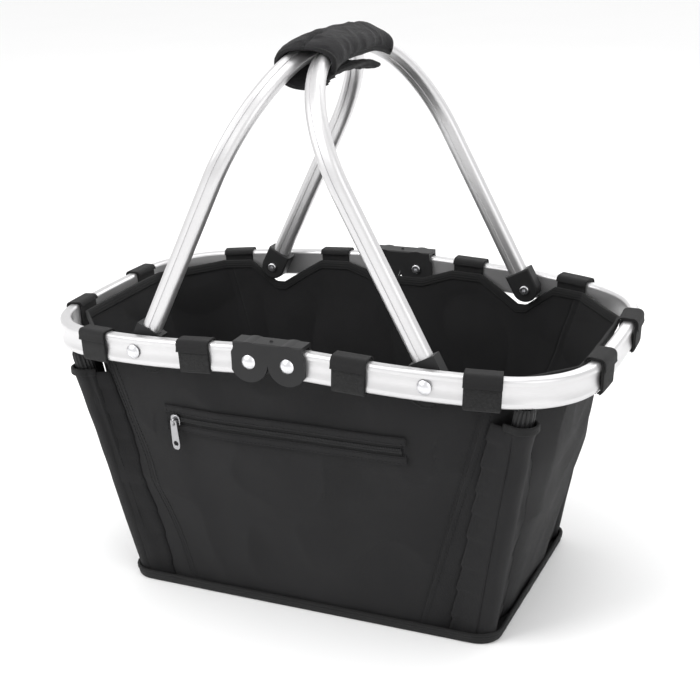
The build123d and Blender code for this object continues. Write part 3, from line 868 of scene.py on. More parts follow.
def pole_pocket(side_x, side_y):
    """A sleeve of bag cloth round a pole, flattened where it meets the wall, with a hemmed top."""
    which, foot, top = pole_line(side_x, side_y)
    axis = (top - foot) / (top[2] - foot[2])
    start_z = 0.0035
    end_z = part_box("pole_pocket_" + which)[1][2] + 0.004
    around = 40
    rows = 60
    diagonal = math.atan2(foot[1], foot[0])
    points = np.zeros((around + 1, rows, 3))
    uvs = np.zeros((around + 1, rows, 2))
    wrap = math.radians(250)
    for i in range(around + 1):
        share = i / around
        angle = diagonal + (share - 0.5) * wrap
        for j in range(rows):
            up = j / (rows - 1)
            z = start_z + (end_z - start_z) * up
            centre = foot + axis * (z - foot[2])
            flare = 0.0016 * smooth(0.85, 1.0, up) * math.sin(math.pi * share)
            r = 0.0101 + flare
            edge = abs(share - 0.5) * 2
            r += 0.0035 * smooth(0.75, 1.0, edge)
            fold = noise.noise(Vector((share * 3.0 + side_x, z * 34.0, side_y * 2.0)))
            r += 0.0011 * fold * math.sin(math.pi * share)
            points[i, j] = (centre[0] + r * math.cos(angle), centre[1] + r * math.sin(angle), z)
            uvs[i, j] = (0.02 * share * 2.2, z)
    pocket = cloth_grid("pole_pocket_cloth_" + which, points, uvs, BAG, ROOT, 0.0009)
    bake(pocket)
    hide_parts("pole_pocket_" + which)
    rim = []
    for i in range(around + 1):
        p = points[i, rows - 1]
        rim.append(p)
    seams = [[points[i, j] for j in range(1, rows)] for i in (2, around - 2)]
    outs = []
    for seam in seams:
        line = []
        for p in seam:
            centre = foot + axis * (p[2] - foot[2])
            d = p - centre
            d[2] = 0
            line.append(p + d / np.linalg.norm(d) * 0.0004)
        outs.append(line)
    return pocket, outs, rim


def pole_at(foot, top, z):
    return foot + (top - foot) * (z - foot[2]) / (top[2] - foot[2])


def pocket_wing(side_x, side_y, turn):
    """The cloth of a pocket that runs flat from the pole's side to its seam on the wall."""
    which, foot, top = pole_line(side_x, side_y)
    end_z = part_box("pole_pocket_" + which)[1][2] + 0.002
    diagonal = math.atan2(foot[1], foot[0])
    rows = 60
    across = 12
    points = np.zeros((across + 1, rows, 3))
    uvs = np.zeros((across + 1, rows, 2))
    seam = []
    for j in range(rows):
        z = 0.0035 + (end_z - 0.0035) * j / (rows - 1)
        centre = pole_at(foot, top, z)
        share = (z - BAG_LOW) / (BAG_TOP - BAG_LOW)
        level = LOW_RING * (1 - share) + TOP_RING * share
        near = int(np.argmin(np.hypot(level[:, 0] - centre[0], level[:, 1] - centre[1])))
        i = (near + turn * 10) % COLUMNS
        far = wall_point(i, (z - BAG_LOW) / (mouth_height(TOP_RING[i][0]) - BAG_LOW), 0.0008)
        angle = diagonal + turn * math.radians(78)
        start = centre + 0.0098 * np.array([math.cos(angle), math.sin(angle), 0.0])
        start[2] = z
        far[2] = z
        for k in range(across + 1):
            s = k / across
            bow = 0.0012 * math.sin(math.pi * s) * noise.noise(Vector((s * 2, z * 30.0, turn + side_x)))
            p = start * (1 - s) + far * s
            p[:2] += NORMALS[i] * bow
            points[k, j] = p
            uvs[k, j] = (0.02 * s, z)
        seam.append(points[across - 1, j] + np.append(NORMALS[i], 0.0) * 0.0009)
    name = "pole_pocket_side_" + which + ("_a" if turn > 0 else "_b")
    wing = cloth_grid(name, points, uvs, BAG, ROOT, 0.0009)
    bake(wing)
    outward(wing)
    return wing, seam


def pocket_rim(which, rim):
    """The thick turned edge at a pocket's mouth."""
    profile = rounded_profile(0.0028, 0.0062, 0.0012, 3)
    rim = np.array(rim)
    count = len(rim)
    centre = rim.mean(axis=0)
    columns = []
    for i in range(count):
        out = rim[i] - centre
        out[2] = 0
        out /= np.linalg.norm(out)
        base = rim[i] + np.array([0, 0, -0.0022])
        columns.append([base + out * a + np.array([0, 0, b]) for a, b in profile])
    verts = np.array(columns).reshape(-1, 3)
    uvs = [(i * 0.002, j * 0.001) for i in range(count) for j in range(len(profile))]
    edge = solid_from("pole_pocket_edge_" + which, verts, tube_faces(count, len(profile)), TAPE, ROOT, uvs)
    outward(edge)
    return edge


# ---------------------------------------------------------------- straps
RIM_SHARES = [steps(60), steps(160, False), steps(120, False), steps(90, False)]
RIM_LINE = RIM.right_half(RIM_THICK / 2, RIM_SHARES)
RIM_RUN = np.concatenate([[0], np.cumsum(np.linalg.norm(np.diff(RIM_LINE, axis=0), axis=1))])


def rim_at(distance):
    """Point on the flat rim's middle line, and its outward direction, at a distance along it."""
    p = np.array([np.interp(distance, RIM_RUN, RIM_LINE[:, k]) for k in (0, 1)])
    ahead = np.array([np.interp(distance + 0.001, RIM_RUN, RIM_LINE[:, k]) for k in (0, 1)])
    behind = np.array([np.interp(distance - 0.001, RIM_RUN, RIM_LINE[:, k]) for k in (0, 1)])
    along = ahead - behind
    out = np.array([along[1], -along[0]])
    return p, out / np.linalg.norm(out)


def strap_place(side_y, kind):
    """Distance along the right half's middle line of a strap's centre."""
    if kind == "end":
        gap = np.abs(RIM_LINE[:, 1] - side_y * END_STRAP_Y) + (RIM_LINE[:, 0] < 0.2) * 1.0
    else:
        x = INNER_STRAP_X if kind == "inner" else OUTER_STRAP_X
        gap = np.abs(RIM_LINE[:, 0] - x) + (RIM_LINE[:, 1] * side_y < 0) * 1.0
    return RIM_RUN[int(np.argmin(gap))]


def ribbon(name, path, span, thick, material, body, place, across=16):
    """Webbing that follows a path in (out, up) and is span wide along the rim."""
    centre, sx, sy = place
    lengths = np.concatenate([[0], np.cumsum(np.linalg.norm(np.diff(path, axis=0), axis=1))])
    rows = len(path)
    points = np.zeros((across + 1, rows, 3))
    uvs = np.zeros((across + 1, rows, 2))
    for i in range(across + 1):
        share = i / across - 0.5
        for j in range(rows):
            a, b = path[j]
            p, out = rim_at(centre + share * span)
            flat = np.array([p[0] + out[0] * a, p[1] + out[1] * a, RIVET_Z + b])
            point = droop_point(flat)
            point[0] *= sx
            points[i, j] = point
            uvs[i, j] = (share * span, lengths[j])
    strip = cloth_grid(name, points, uvs, material, body, thick, inward=False)
    soft = strip.modifiers.new("soft_edges", "BEVEL")
    soft.width = 0.00035
    soft.segments = 2
    soft.limit_method = "ANGLE"
    bake(strip)
    outward(strip)
    return strip


def loop_path(half_out, half_up, radius, start, end):
    """Part of a rounded rectangle round the bar, as (out, up) points; angles run from +out to +up."""
    outline = rounded_profile(2 * half_out, 2 * half_up, radius, 5)
    pts = resample(outline, 120, True)
    angles = np.unwrap(np.arctan2(pts[:, 1], pts[:, 0]))
    angles -= 2 * math.pi * round(angles[0] / (2 * math.pi))
    order = np.argsort(angles % (2 * math.pi))
    angles = (angles % (2 * math.pi))[order]
    pts = pts[order]
    want = np.linspace(start, end, 64)
    outs = [np.interp(w % (2 * math.pi), angles, pts[:, k], period=2 * math.pi) for w in want for k in (0, 1)]
    return np.array(outs).reshape(-1, 2)


def strap(side_x, side_y, kind, rng):
    """One webbing loop: a plain band round the bar, a fuzzy face, and an overlapping end."""
    which = ("right" if side_x > 0 else "left") + ("_back_" if side_y > 0 else "_front_") + kind
    body = "rim_right" if side_x > 0 else "rim_left"
    centre = strap_place(side_y, kind)
    place = (centre, side_x, side_y)
    half_out = RIM_THICK / 2 + 0.0006
    half_up = RIM_HEIGHT / 2 + 0.0006
    band_path = loop_path(half_out, half_up, 0.0026, -0.42 * math.pi, 1.56 * math.pi)
    band = ribbon("strap_band_" + which, band_path, STRAP_WIDTH, 0.0012, WEBBING, body, place)
    fuzz_path = loop_path(half_out + 0.0013, half_up + 0.0013, 0.0034, -0.40 * math.pi, 0.40 * math.pi)
    fuzz = ribbon("strap_loops_" + which, fuzz_path, STRAP_WIDTH - 0.0012, 0.0009, LOOPS, body, place)
    lip = rng.uniform(0.0006, 0.0022)
    flap_path = loop_path(half_out + 0.0023, half_up + 0.0014, 0.0040, 0.72 * math.pi, 0.17 * math.pi)
    for k in range(1, 13):
        share = (13 - k) / 12
        flap_path[-k, 0] += lip * share**2
    flap = ribbon(
        "strap_end_" + which, flap_path[::-1], STRAP_WIDTH + 0.0006, 0.0011, WEBBING, body, place
    )
    for piece in (band, fuzz, flap):
        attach(piece, body)
    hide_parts("strap_" + which)


# ---------------------------------------------------------------- grip
GRIP_HALF = (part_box("grip_wrap")[1][1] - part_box("grip_wrap")[0][1]) / 2
TUBE_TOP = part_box("handle_tube_right")[1][2]
TUBE_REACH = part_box("handle_tube_right")[1][1]


def crown_line(side_x, share):
    """Middle of a handle tube's crown at share -1..1 of the grip's length."""
    y = share * GRIP_HALF
    bend = 0.100
    straight = (TUBE_REACH - 0.0055) - bend
    over = max(abs(y) - straight, 0.0)
    drop = bend - math.sqrt(bend**2 - over**2)
    tilt = math.radians(27.1)
    crown_z = TUBE_TOP - 0.0066
    return np.array([side_x * (0.0096 + drop * math.sin(tilt)), y, crown_z - drop * math.cos(tilt)])


def grip_section(share, angle, thick, swell):
    """A point of the wrap's outside: an oval round both tubes, angle from +X towards +Z."""
    right = crown_line(1, share)
    left = crown_line(-1, share)
    centre = (right + left) / 2
    half_x = (right[0] - left[0]) / 2 + 0.0086 + thick + swell
    half_z = 0.0085 + thick + swell
    c, s = math.cos(angle), math.sin(angle)
    if s < 0:
        half_z *= 1.0 + 0.55 * smooth(0.0, 0.7, -s)
        half_x += 0.0035 * smooth(0.2, 0.7, c) * smooth(0.3, 0.8, -s)
    power = 2.5
    r = (abs(c / half_x) ** power + abs(s / half_z) ** power) ** (-1 / power)
    return centre + np.array([r * c, 0.0, r * s])


def quilt(name, start, end, around, along, material, seed):
    """A padded strip of the wrap between two angles: a closed cushion that hugs the tubes."""
    outer = np.zeros((along + 1, around + 1, 3))
    inner = np.zeros((along + 1, around + 1, 3))
    for i in range(along + 1):
        share = -1 + 2 * i / along
        for j in range(around + 1):
            across = j / around
            angle = start + (end - start) * across
            edge = across
            near_edge = smooth(0.0, 0.10, edge)
            near_end = smooth(0.0, 0.10, 1 - abs(share))
            puff = 0.0050 * (0.35 + 0.65 * near_edge) * (0.45 + 0.55 * near_end)
            p = grip_section(share, angle, 0.0012, 0.0)
            centre = (crown_line(1, share) + crown_line(-1, share)) / 2
            out = p - centre
            out /= np.linalg.norm(out)
            drape = noise.noise(Vector((share * 2.1 + seed, angle * 1.3, seed)))
            ridge = 1 - abs(noise.noise(Vector((share * 4.2 + seed * 3, angle * 0.8 + 2, seed)))) * 3
            wave = 0.0016 * drape + 0.0011 * max(ridge, -0.4)
            outer[i, j] = p + out * (puff + wave * near_edge * near_end)
            inner[i, j] = p
    verts = np.vstack([outer.reshape(-1, 3), inner.reshape(-1, 3)])
    rows = around + 1
    columns = along + 1
    size = rows * columns
    faces = []
    for i in range(along):
        for j in range(around):
            a = i * rows + j
            faces.append((a, a + 1, a + rows + 1, a + rows))
            b = a + size
            faces.append((b, b + rows, b + rows + 1, b + 1))
    for i in range(along):
        for j in (0, around):
            a = i * rows + j
            faces.append((a, a + rows, a + rows + size, a + size))
    for j in range(around):
        for i in (0, along):
            a = i * rows + j
            faces.append((a, a + 1, a + 1 + size, a + size))
    made = solid_from(name, verts, faces, material, "handle_left")
    outward(made)
    return made


def simulate_pad(made, cap, pressure=3.0, voxel=0.0016, frames=14):
    """Remesh a pad, let cloth pressure fill it and keep each point within cap of where it was."""
    remesh = made.modifiers.new("even_mesh", "REMESH")
    remesh.mode = "VOXEL"
    remesh.voxel_size = voxel
    bake(made)
    before = np.array([v.co for v in made.data.vertices])
    cloth = made.modifiers.new("cloth", "CLOTH")
    cloth.settings.use_pressure = True
    cloth.settings.uniform_pressure_force = pressure
    cloth.settings.effector_weights.gravity = 0.0
    cloth.settings.quality = 4
    cloth.settings.shrink_min = -0.03
    scene = bpy.context.scene
    cloth.point_cache.frame_start = 1
    cloth.point_cache.frame_end = frames
    for frame_number in range(1, frames + 1):
        scene.frame_set(frame_number)
    bake(made)
    scene.frame_set(1)
    after = np.array([v.co for v in made.data.vertices])
    move = after - before
    far = np.linalg.norm(move, axis=1, keepdims=True)
    after = before + move * np.minimum(1.0, cap / np.maximum(far, 1e-9))
    made.data.vertices.foreach_set("co", after.ravel())
    for polygon in made.data.polygons:
        polygon.use_smooth = True
    return made


def box_uvs(made):
    """UVs in metres from each face's own direction, for cloth that was remeshed."""
    layer = made.data.uv_layers.get("cloth") or made.data.uv_layers.new(name="cloth")
    for polygon in made.data.polygons:
        n = polygon.normal
        flat_way = abs(n.z) >= abs(n.x)
        for k in polygon.loop_indices:
            co = made.data.vertices[made.data.loops[k].vertex_index].co
            layer.data[k].uv = (co.y, co.x if flat_way else co.z)


GRIP_TOP = math.pi / 2
GRIP_BOTTOM = 3 * math.pi / 2


def edge_piping(name, angle, body, size=0.0030):
    """A rounded, sewn edge that runs the wrap's length at one angle."""
    profile = rounded_profile(size * 1.5, size, size * 0.45, 3)
    columns = []
    count = 60
    for i in range(count + 1):
        share = -0.985 + 1.97 * i / count
        p = grip_section(share, angle, 0.0030, 0.0)
        centre = (crown_line(1, share) + crown_line(-1, share)) / 2
        out = p - centre
        out /= np.linalg.norm(out)
        side = np.array([-out[2], 0.0, out[0]])
        sway = 0.0006 * noise.noise(Vector((share * 4, angle, 1.0)))
        columns.append([p + side * (a + sway) + out * b for a, b in profile])
    verts = np.array(columns).reshape(-1, 3)
    uvs = [(i * 0.002, j * 0.001) for i in range(count + 1) for j in range(len(profile))]
    made = solid_from(name, verts, tube_faces(count + 1, len(profile)), TAPE, body, uvs)
    return outward(made)


def end_piping(name, share, start, end, body, size=0.0030):
    """A rounded, sewn edge round one end of the wrap, between two angles."""
    profile = rounded_profile(size * 1.3, size * 1.2, size * 0.45, 3)
    columns = []
    count = 48
    for i in range(count + 1):
        angle = start + (end - start) * i / count
        p = grip_section(share, angle, 0.0034, 0.0)
        centre = (crown_line(1, share) + crown_line(-1, share)) / 2
        out = p - centre
        out /= np.linalg.norm(out)
        along = np.array([0.0, 1.0, 0.0])
        columns.append([p + along * a + out * b for a, b in profile])
    verts = np.array(columns).reshape(-1, 3)
    uvs = [(i * 0.0015, j * 0.001) for i in range(count + 1) for j in range(len(profile))]
    made = solid_from(name, verts, tube_faces(count + 1, len(profile)), TAPE, body, uvs)
    return outward(made)


def grip():
    """The padded wrap: a fixed part on the left tube and two flaps over the right one."""
    upper_lip = math.radians(-14)
    lower_lip = math.radians(-52)
    parts = [
        ("grip_wrap", GRIP_TOP, GRIP_BOTTOM, 40, 1.7),
        ("grip_top_flap", upper_lip, GRIP_TOP, 26, 4.4),
        ("grip_under_flap", -math.pi / 2, lower_lip, 12, 8.2),
    ]
    made = []
    for node, start, end, around, seed in parts:
        pad = quilt(node + "_padding", start, end, around, 56, PAD, seed)
        simulate_pad(pad, 0.0022)
        box_uvs(pad)
        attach(pad, "handle_left")
        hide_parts(node)
        made.append(pad)
    pipes = [
        edge_piping("grip_top_lip", upper_lip, "handle_left"),
        edge_piping("grip_under_lip", lower_lip, "handle_left"),
        end_piping("grip_near_edge_top", -0.975, upper_lip, GRIP_TOP, "handle_left"),
        end_piping("grip_far_edge_top", 0.975, upper_lip, GRIP_TOP, "handle_left"),
        end_piping("grip_near_edge", -0.975, GRIP_TOP, GRIP_BOTTOM, "handle_left"),
        end_piping("grip_far_edge", 0.975, GRIP_TOP, GRIP_BOTTOM, "handle_left"),
    ]
    for pipe in pipes:
        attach(pipe, "handle_left")
    opening = [made[1], pipes[0], pipes[2], pipes[3], made[2], pipes[1]]
    for piece in opening:
        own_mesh(piece)
    return made


# ---------------------------------------------------------------- zip
ZIP_LOW, ZIP_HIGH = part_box("zip_coil")
ZIP_Z = (ZIP_LOW[2] + ZIP_HIGH[2]) / 2
ZIP_X0 = ZIP_LOW[0]
ZIP_X1 = ZIP_HIGH[0]


def front_point(x, z, lift):
    """A point just outside the front cloth at x and z."""
    i = column_near(x, -0.1305)
    lower = TOP_RING[i][0]
    step = 1 if lower <= x else -1
    k = (i + step) % COLUMNS
    z_top = mouth_height(x)
    t = (z - BAG_LOW) / (z_top - BAG_LOW)
    a = wall_point(i, t, lift)
    b = wall_point(k, t, lift)
    s = (x - a[0]) / (b[0] - a[0]) if abs(b[0] - a[0]) > 1e-9 else 0.0
    p = a * (1 - s) + b * s
    p[2] = z
    return p


def wall_frame(x, z):
    """Origin on the front cloth, and the directions along, up and out."""
    p = front_point(x, z, 0.0)
    up = front_point(x, z + 0.004, 0.0) - front_point(x, z - 0.004, 0.0)
    up /= np.linalg.norm(up)
    along = front_point(x + 0.004, z, 0.0) - front_point(x - 0.004, z, 0.0)
    along /= np.linalg.norm(along)
    out = np.cross(along, up)
    return p, along, up, out / np.linalg.norm(out)


def wall_strip(name, x0, x1, v0, v1, lift, thick, material, nodes, columns=90, rows=4):
    """A strip sewn along the front wall, between heights v0 and v1 from the zip's middle."""
    points = np.zeros((columns + 1, rows + 1, 3))
    uvs = np.zeros((columns + 1, rows + 1, 2))
    for i in range(columns + 1):
        x = x0 + (x1 - x0) * i / columns
        for j in range(rows + 1):
            v = v0 + (v1 - v0) * j / rows
            crown = lift + 0.0003 * math.sin(math.pi * j / rows)
            points[i, j] = front_point(x, ZIP_Z + v, crown)
            uvs[i, j] = (x, v)
    strip = cloth_grid(name, points, uvs, material, ROOT, thick)
    soft = strip.modifiers.new("soft_edges", "BEVEL")
    soft.width = 0.0003
    soft.segments = 2
    bake(strip)
    if nodes:
        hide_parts(*nodes)
    return strip


def coil_tree():
    """Interlocking nylon turns along a line: one bent tooth a pitch, on alternate sides."""
    tree = bpy.data.node_groups.new("zip_coil_turns", "GeometryNodeTree")
    face = tree.interface
    face.new_socket("Geometry", in_out="INPUT", socket_type="NodeSocketGeometry")
    for name, value in (("Pitch", 0.0013), ("Tooth", 0.0011)):
        made = face.new_socket(name, in_out="INPUT", socket_type="NodeSocketFloat")
        made.default_value = value
    face.new_socket("Finish", in_out="INPUT", socket_type="NodeSocketMaterial")
    face.new_socket("Geometry", in_out="OUTPUT", socket_type="NodeSocketGeometry")
    nodes = tree.nodes
    links = tree.links
    start = nodes.new("NodeGroupInput")
    end = nodes.new("NodeGroupOutput")
    curve = nodes.new("GeometryNodeMeshToCurve")
    even = nodes.new("GeometryNodeResampleCurve")
    even.mode = "LENGTH"
    points = nodes.new("GeometryNodeInstanceOnPoints")
    tooth = nodes.new("GeometryNodeMeshUVSphere")
    tooth.inputs["Segments"].default_value = 8
    tooth.inputs["Rings"].default_value = 6
    tooth.inputs["Radius"].default_value = 1.0
    size = nodes.new("ShaderNodeCombineXYZ")
    thin = nodes.new("ShaderNodeMath")
    thin.operation = "MULTIPLY"
    thin.inputs[1].default_value = 0.5
    real = nodes.new("GeometryNodeRealizeInstances")
    finish = nodes.new("GeometryNodeSetMaterial")
    links.new(start.outputs["Geometry"], curve.inputs["Mesh"])
    links.new(curve.outputs["Curve"], even.inputs["Curve"])
    links.new(start.outputs["Pitch"], even.inputs["Length"])
    links.new(even.outputs["Curve"], points.inputs["Points"])
    links.new(tooth.outputs["Mesh"], points.inputs["Instance"])
    links.new(start.outputs["Pitch"], thin.inputs[0])
    links.new(thin.outputs[0], size.inputs["X"])
    links.new(start.outputs["Tooth"], size.inputs["Z"])
    links.new(start.outputs["Pitch"], size.inputs["Y"])
    links.new(size.outputs[0], points.inputs["Scale"])
    links.new(points.outputs["Instances"], real.inputs["Geometry"])
    links.new(real.outputs["Geometry"], finish.inputs["Geometry"])
    links.new(start.outputs["Finish"], finish.inputs["Material"])
    links.new(finish.outputs["Geometry"], end.inputs["Geometry"])
    return tree


def coil_turns():
    tree = coil_tree()
    mesh = bpy.data.meshes.new("zip_coil_rows")
    verts = []
    edges = []
    for row, v in enumerate((0.0010, -0.0010)):
        first = len(verts)
        shift = 0.00065 * row
        for k in range(80):
            x = ZIP_X0 + shift + (ZIP_X1 - ZIP_X0 - 0.001) * k / 79
            verts.append(tuple(front_point(x, ZIP_Z + v, 0.0016)))
        edges += [(first + k, first + k + 1) for k in range(79)]
    mesh.from_pydata(verts, edges, [])
    made = bpy.data.objects.new("zip_coil_rows", mesh)
    bpy.context.scene.collection.objects.link(made)
    turns = made.modifiers.new("turns", "NODES")
    turns.node_group = tree
    set_inputs(turns, Pitch=0.0013, Tooth=0.0014, Finish=NYLON)
    bake(made)
    for polygon in made.data.polygons:
        polygon.use_smooth = True
    made["rides_on"] = ROOT
    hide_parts("zip_coil")
    return made


def plate_from(name, outline, holes, thick, origin, along, up, out, material, body, bevel=0.0004):
    """A flat part cut from an outline in (along, up), with round holes, and softened edges."""
    curve = bpy.data.curves.new(name, "CURVE")
    curve.dimensions = "2D"
    curve.fill_mode = "BOTH"
    loops = [outline]
    turns = np.linspace(0, 2 * math.pi, 20, endpoint=False)
    for x, y, r in holes:
        loops.append([(x + r * math.cos(a), y + r * math.sin(a)) for a in turns])
    for loop in loops:
        spline = curve.splines.new("POLY")
        spline.points.add(len(loop) - 1)
        for point, (x, y) in zip(spline.points, loop):
            point.co = (x, y, 0.0, 1.0)
        spline.use_cyclic_u = True
    curve.extrude = thick / 2 - bevel
    curve.bevel_depth = bevel
    curve.bevel_resolution = 2
    curve.offset = -bevel
    made = bpy.data.objects.new(name, curve)
    bpy.context.scene.collection.objects.link(made)
    mesh = bpy.data.meshes.new_from_object(made.evaluated_get(bpy.context.evaluated_depsgraph_get()))
    bpy.data.objects.remove(made)
    place = Matrix((
        (along[0], up[0], out[0], origin[0]),
        (along[1], up[1], out[1], origin[1]),
        (along[2], up[2], out[2], origin[2]),
        (0, 0, 0, 1),
    ))
    mesh.transform(place)
    mesh.materials.clear()
    mesh.materials.append(material)
    piece = bpy.data.objects.new(name, mesh)
    bpy.context.scene.collection.objects.link(piece)
    outward(piece)
    piece["rides_on"] = body
    return piece


def join_pieces(name, parts, body):
    """Several meshes as one piece."""
    work = bmesh.new()
    for part in parts:
        work.from_mesh(part.data)
    mesh = bpy.data.meshes.new(name)
    work.to_mesh(mesh)
    work.free()
    mesh.materials.append(parts[0].data.materials[0])
    for polygon in mesh.polygons:
        polygon.material_index = 0
    for part in parts:
        bpy.data.objects.remove(part)
    made = bpy.data.objects.new(name, mesh)
    bpy.context.scene.collection.objects.link(made)
    made["rides_on"] = body
    return made


def ring_bar(name, path, radius, material, body, sides=10):
    """A round bar along a path of points."""
    path = np.array(path)
    columns = []
    for i, p in enumerate(path):
        ahead = path[min(i + 1, len(path) - 1)] - path[max(i - 1, 0)]
        ahead /= np.linalg.norm(ahead)
        helper = np.array([0.0, 0.0, 1.0]) if abs(ahead[2]) < 0.9 else np.array([1.0, 0.0, 0.0])
        a = np.cross(ahead, helper)
        a /= np.linalg.norm(a)
        b = np.cross(ahead, a)
        columns.append([
            p + a * radius * math.cos(t) + b * radius * math.sin(t)
            for t in np.linspace(0, 2 * math.pi, sides, endpoint=False)
        ])
    verts = np.array(columns).reshape(-1, 3)
    made = solid_from(name, verts, tube_faces(len(path), sides), material, body)
    return outward(made)


def zip_runner():
    low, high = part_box("zip_slider")
    x = (low[0] + high[0]) / 2
    p, along, up, out = wall_frame(x, ZIP_Z)
    base = p + out * 0.0036
    heart = [
        (-0.0042, -0.0040), (-0.0018, -0.0050), (0.0018, -0.0050), (0.0042, -0.0040),
        (0.0046, 0.0), (0.0040, 0.0036), (0.0022, 0.0050), (-0.0022, 0.0050),
        (-0.0040, 0.0036), (-0.0046, 0.0),
    ]
    body = plate_from("slider_body", heart, [], 0.0024, base, along, up, out, ZIP_METAL, "zip_runner", 0.0006)
    arc = []
    for k in range(15):
        a = math.pi * k / 14
        arc.append(base + up * (0.0034 * math.cos(a) - 0.0008) + out * (0.0010 + 0.0036 * math.sin(a)))
    bridge = ring_bar("slider_bridge", arc, 0.0010, ZIP_METAL, "zip_runner")
    slider = join_pieces("zip_slider_metal", [body, bridge], "zip_runner")
    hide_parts("zip_slider")
    hang = base - up * 0.0008 + out * 0.0034
    tab = [
        (-0.0030, 0.0012), (-0.0024, 0.0022), (0.0024, 0.0022), (0.0030, 0.0012),
        (0.0034, -0.0100), (0.0038, -0.0200), (0.0033, -0.0238), (0.0016, -0.0254),
        (-0.0016, -0.0254), (-0.0033, -0.0238), (-0.0038, -0.0200), (-0.0034, -0.0100),
    ]
    holes = [(0.0, -0.0012, 0.0014), (0.0, -0.0196, 0.0023)]
    pull = plate_from("zip_pull_metal", tab, holes, 0.0015, hang, along, up, out, ZIP_METAL, "zip_tab")
    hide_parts("zip_pull")
    return slider, pull


# ---------------------------------------------------------------- making
soft_pieces = bag_panels()
hem = mouth_hem()
tape, tape_line = base_binding()
bottom = flat_slab("bag_bottom_cloth", 0.0016, 0.0, 0.0020, BAG, ["bag_bottom_panel"])
board = flat_slab("base_board_cover", 0.0105, 0.0030, 0.0056, BOARD, ["base_board"], 0.0006, 0.0008)
soft_pieces += [hem, tape, bottom, board]

pocket_lines = []
for side_x in (-1, 1):
    for side_y in (-1, 1):
        soft_pieces.append(corner_pole(side_x, side_y))
        pocket, seams, rim_edge = pole_pocket(side_x, side_y)
        which = ("right" if side_x > 0 else "left") + ("_back" if side_y > 0 else "_front")
        soft_pieces += [pocket, pocket_rim(which, rim_edge)]
        pocket_lines += seams
        for turn in (-1, 1):
            wing, seam = pocket_wing(side_x, side_y, turn)
            soft_pieces.append(wing)
            pocket_lines.append(seam)

lining = wall_strip(
    "pocket_lining_cloth", ZIP_X0 - 0.002, ZIP_X1 + 0.002, -0.100, 0.010, -0.0042, 0.0006,
    LINING, ["pocket_lining"], 60, 24,
)
upper = wall_strip(
    "zip_tape_upper_cloth", ZIP_X0, ZIP_X1, 0.0016, 0.0085, 0.0011, 0.0007,
    TAPE, ["zip_tape_upper"],
)
lower = wall_strip(
    "zip_tape_lower_cloth", ZIP_X0, ZIP_X1, -0.0085, -0.0016, 0.0011, 0.0007,
    TAPE, ["zip_tape_lower"],
)
welt_top = wall_strip(
    "zip_welt_upper", ZIP_X0 - 0.006, ZIP_X1 + 0.004, 0.0046, 0.0120, 0.0024, 0.0011, BAG, []
)
welt_low = wall_strip(
    "zip_welt_lower", ZIP_X0 - 0.006, ZIP_X1 + 0.004, -0.0120, -0.0046, 0.0024, 0.0011, BAG, []
)
soft_pieces += [lining, upper, lower, welt_top, welt_low, coil_turns()]

zip_lines = []
for v, pad in ((0.0062, 0.0), (-0.0062, 0.0), (0.0108, 0.004), (-0.0108, 0.004)):
    run = np.linspace(ZIP_X0 - pad, ZIP_X1 + pad, 81)
    zip_lines.append([front_point(x, ZIP_Z + v, 0.0028) for x in run])
for x in (ZIP_X0 - 0.004, ZIP_X1 + 0.003):
    zip_lines.append([front_point(x, ZIP_Z - 0.0108 + 0.0216 * k / 12, 0.0028) for k in range(13)])
seam_lines = []
for name, i in SEAMS.items():
    for shift in (-2, 2):
        seam_lines.append([on_wall(i + shift, 0.04 + 0.9 * k / 80, 0.0004) for k in range(81)])
hem_line = []
for i in range(COLUMNS + 1):
    p = WALL[i % COLUMNS, ROWS - 1].copy()
    out = NORMALS[i % COLUMNS]
    p[2] -= 0.0062
    p[:2] += out * 0.0014
    hem_line.append(p)
hem_inside = []
for i in range(COLUMNS + 1):
    p = WALL[i % COLUMNS, ROWS - 1].copy()
    out = NORMALS[i % COLUMNS]
    p[2] -= 0.0058
    p[:2] -= out * 0.0025
    hem_inside.append(p)
soft_pieces.append(stitch_rows("bag_stitches", [hem_line, hem_inside, tape_line] + seam_lines, ROOT))
soft_pieces.append(stitch_rows("pocket_stitches", pocket_lines + zip_lines, ROOT))
for piece in soft_pieces:
    fold_with_rim(piece)

slider, pull = zip_runner()
for piece in (slider, pull):
    fold_with_rim(piece)

rng = random.Random(7)
for side_x in (-1, 1):
    for side_y in (-1, 1):
        for kind in ("inner", "outer", "end"):
            strap(side_x, side_y, kind, rng)

grip()

FINISHES = {
    "rim_half": ALUMINIUM,
    "handle_tube": ALUMINIUM,
    "handle_cap": CLIP_PLASTIC,
    "hinge_clip": CLIP_PLASTIC,
    "clip_rivets": RIVET,
    "handle_rivets": RIVET,
}
for node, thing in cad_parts.items():
    for start, material in FINISHES.items():
        if node.startswith(start):
            thing.data.materials.clear()
            thing.data.materials.append(material)


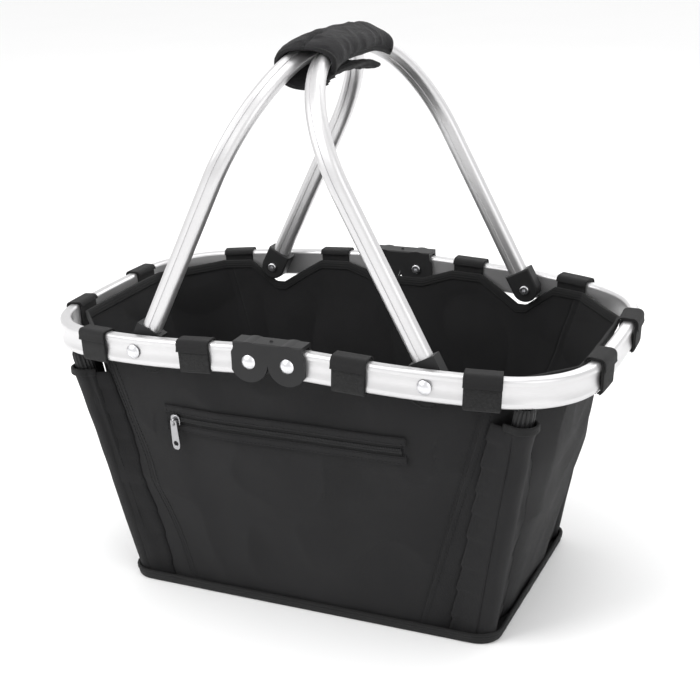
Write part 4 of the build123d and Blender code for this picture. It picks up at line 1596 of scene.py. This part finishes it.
# ---------------------------------------------------------------- studio
def studio():
    floor_mesh = bpy.data.meshes.new("floor")
    size = 6.0
    corners = [(-size, -size, 0), (size, -size, 0), (size, size, 0), (-size, size, 0)]
    floor_mesh.from_pydata(corners, [], [(0, 1, 2, 3)])
    floor = bpy.data.objects.new("floor", floor_mesh)
    bpy.context.scene.collection.objects.link(floor)
    paper = Net("floor_paper")
    tone = paper.noise(paper.place(), 3.0)
    paper.feed(Base_Color=mix_colours(paper, tone, (0.93, 0.93, 0.93), (0.95, 0.95, 0.95)))
    paper.fixed(Roughness=0.9, Specular_IOR_Level=0.1)
    floor_mesh.materials.append(paper.material)
    world = bpy.data.worlds.new("studio")
    bpy.context.scene.world = world
    world.use_nodes = True
    world.node_tree.nodes["Background"].inputs["Color"].default_value = (1.0, 1.0, 1.0, 1.0)
    world.node_tree.nodes["Background"].inputs["Strength"].default_value = 1.0
    lights = [
        ("key", (-1.3, -1.5, 1.9), 1.4, 30.0),
        ("fill", (1.9, -1.1, 1.2), 1.6, 9.0),
        ("back", (0.4, 1.9, 1.7), 1.5, 14.0),
        ("top", (0.0, -0.1, 2.3), 1.2, 9.0),
    ]
    for name, place, size, power in lights:
        data = bpy.data.lights.new(name, "AREA")
        data.size = size
        data.energy = power
        lamp = bpy.data.objects.new(name, data)
        lamp.location = place
        lamp.rotation_euler = (Vector((0, 0, 0.2)) - Vector(place)).to_track_quat("-Z", "Y").to_euler()
        bpy.context.scene.collection.objects.link(lamp)


def camera():
    yaw, pitch, roll = -0.454, 0.340, -0.044
    ahead = Vector((math.sin(yaw) * math.cos(pitch), math.cos(yaw) * math.cos(pitch), -math.sin(pitch)))
    right = Vector((math.cos(yaw), -math.sin(yaw), 0.0))
    up = right.cross(ahead)
    turned_right = right * math.cos(roll) + up * math.sin(roll)
    turned_up = up * math.cos(roll) - right * math.sin(roll)
    data = bpy.data.cameras.new("camera")
    data.sensor_width = 36.0
    data.lens = 71.85
    data.shift_x = 0.0683
    data.shift_y = 0.0019
    made = bpy.data.objects.new("camera", data)
    place = Matrix.Identity(4)
    for k in range(3):
        place[k][0] = turned_right[k]
        place[k][1] = turned_up[k]
        place[k][2] = -ahead[k]
    place.translation = Vector((0.4666, -1.0417, 0.6022))
    made.matrix_world = place
    bpy.context.scene.collection.objects.link(made)
    bpy.context.scene.camera = made


studio()
camera()
bpy.context.scene.view_settings.view_transform = "Standard"
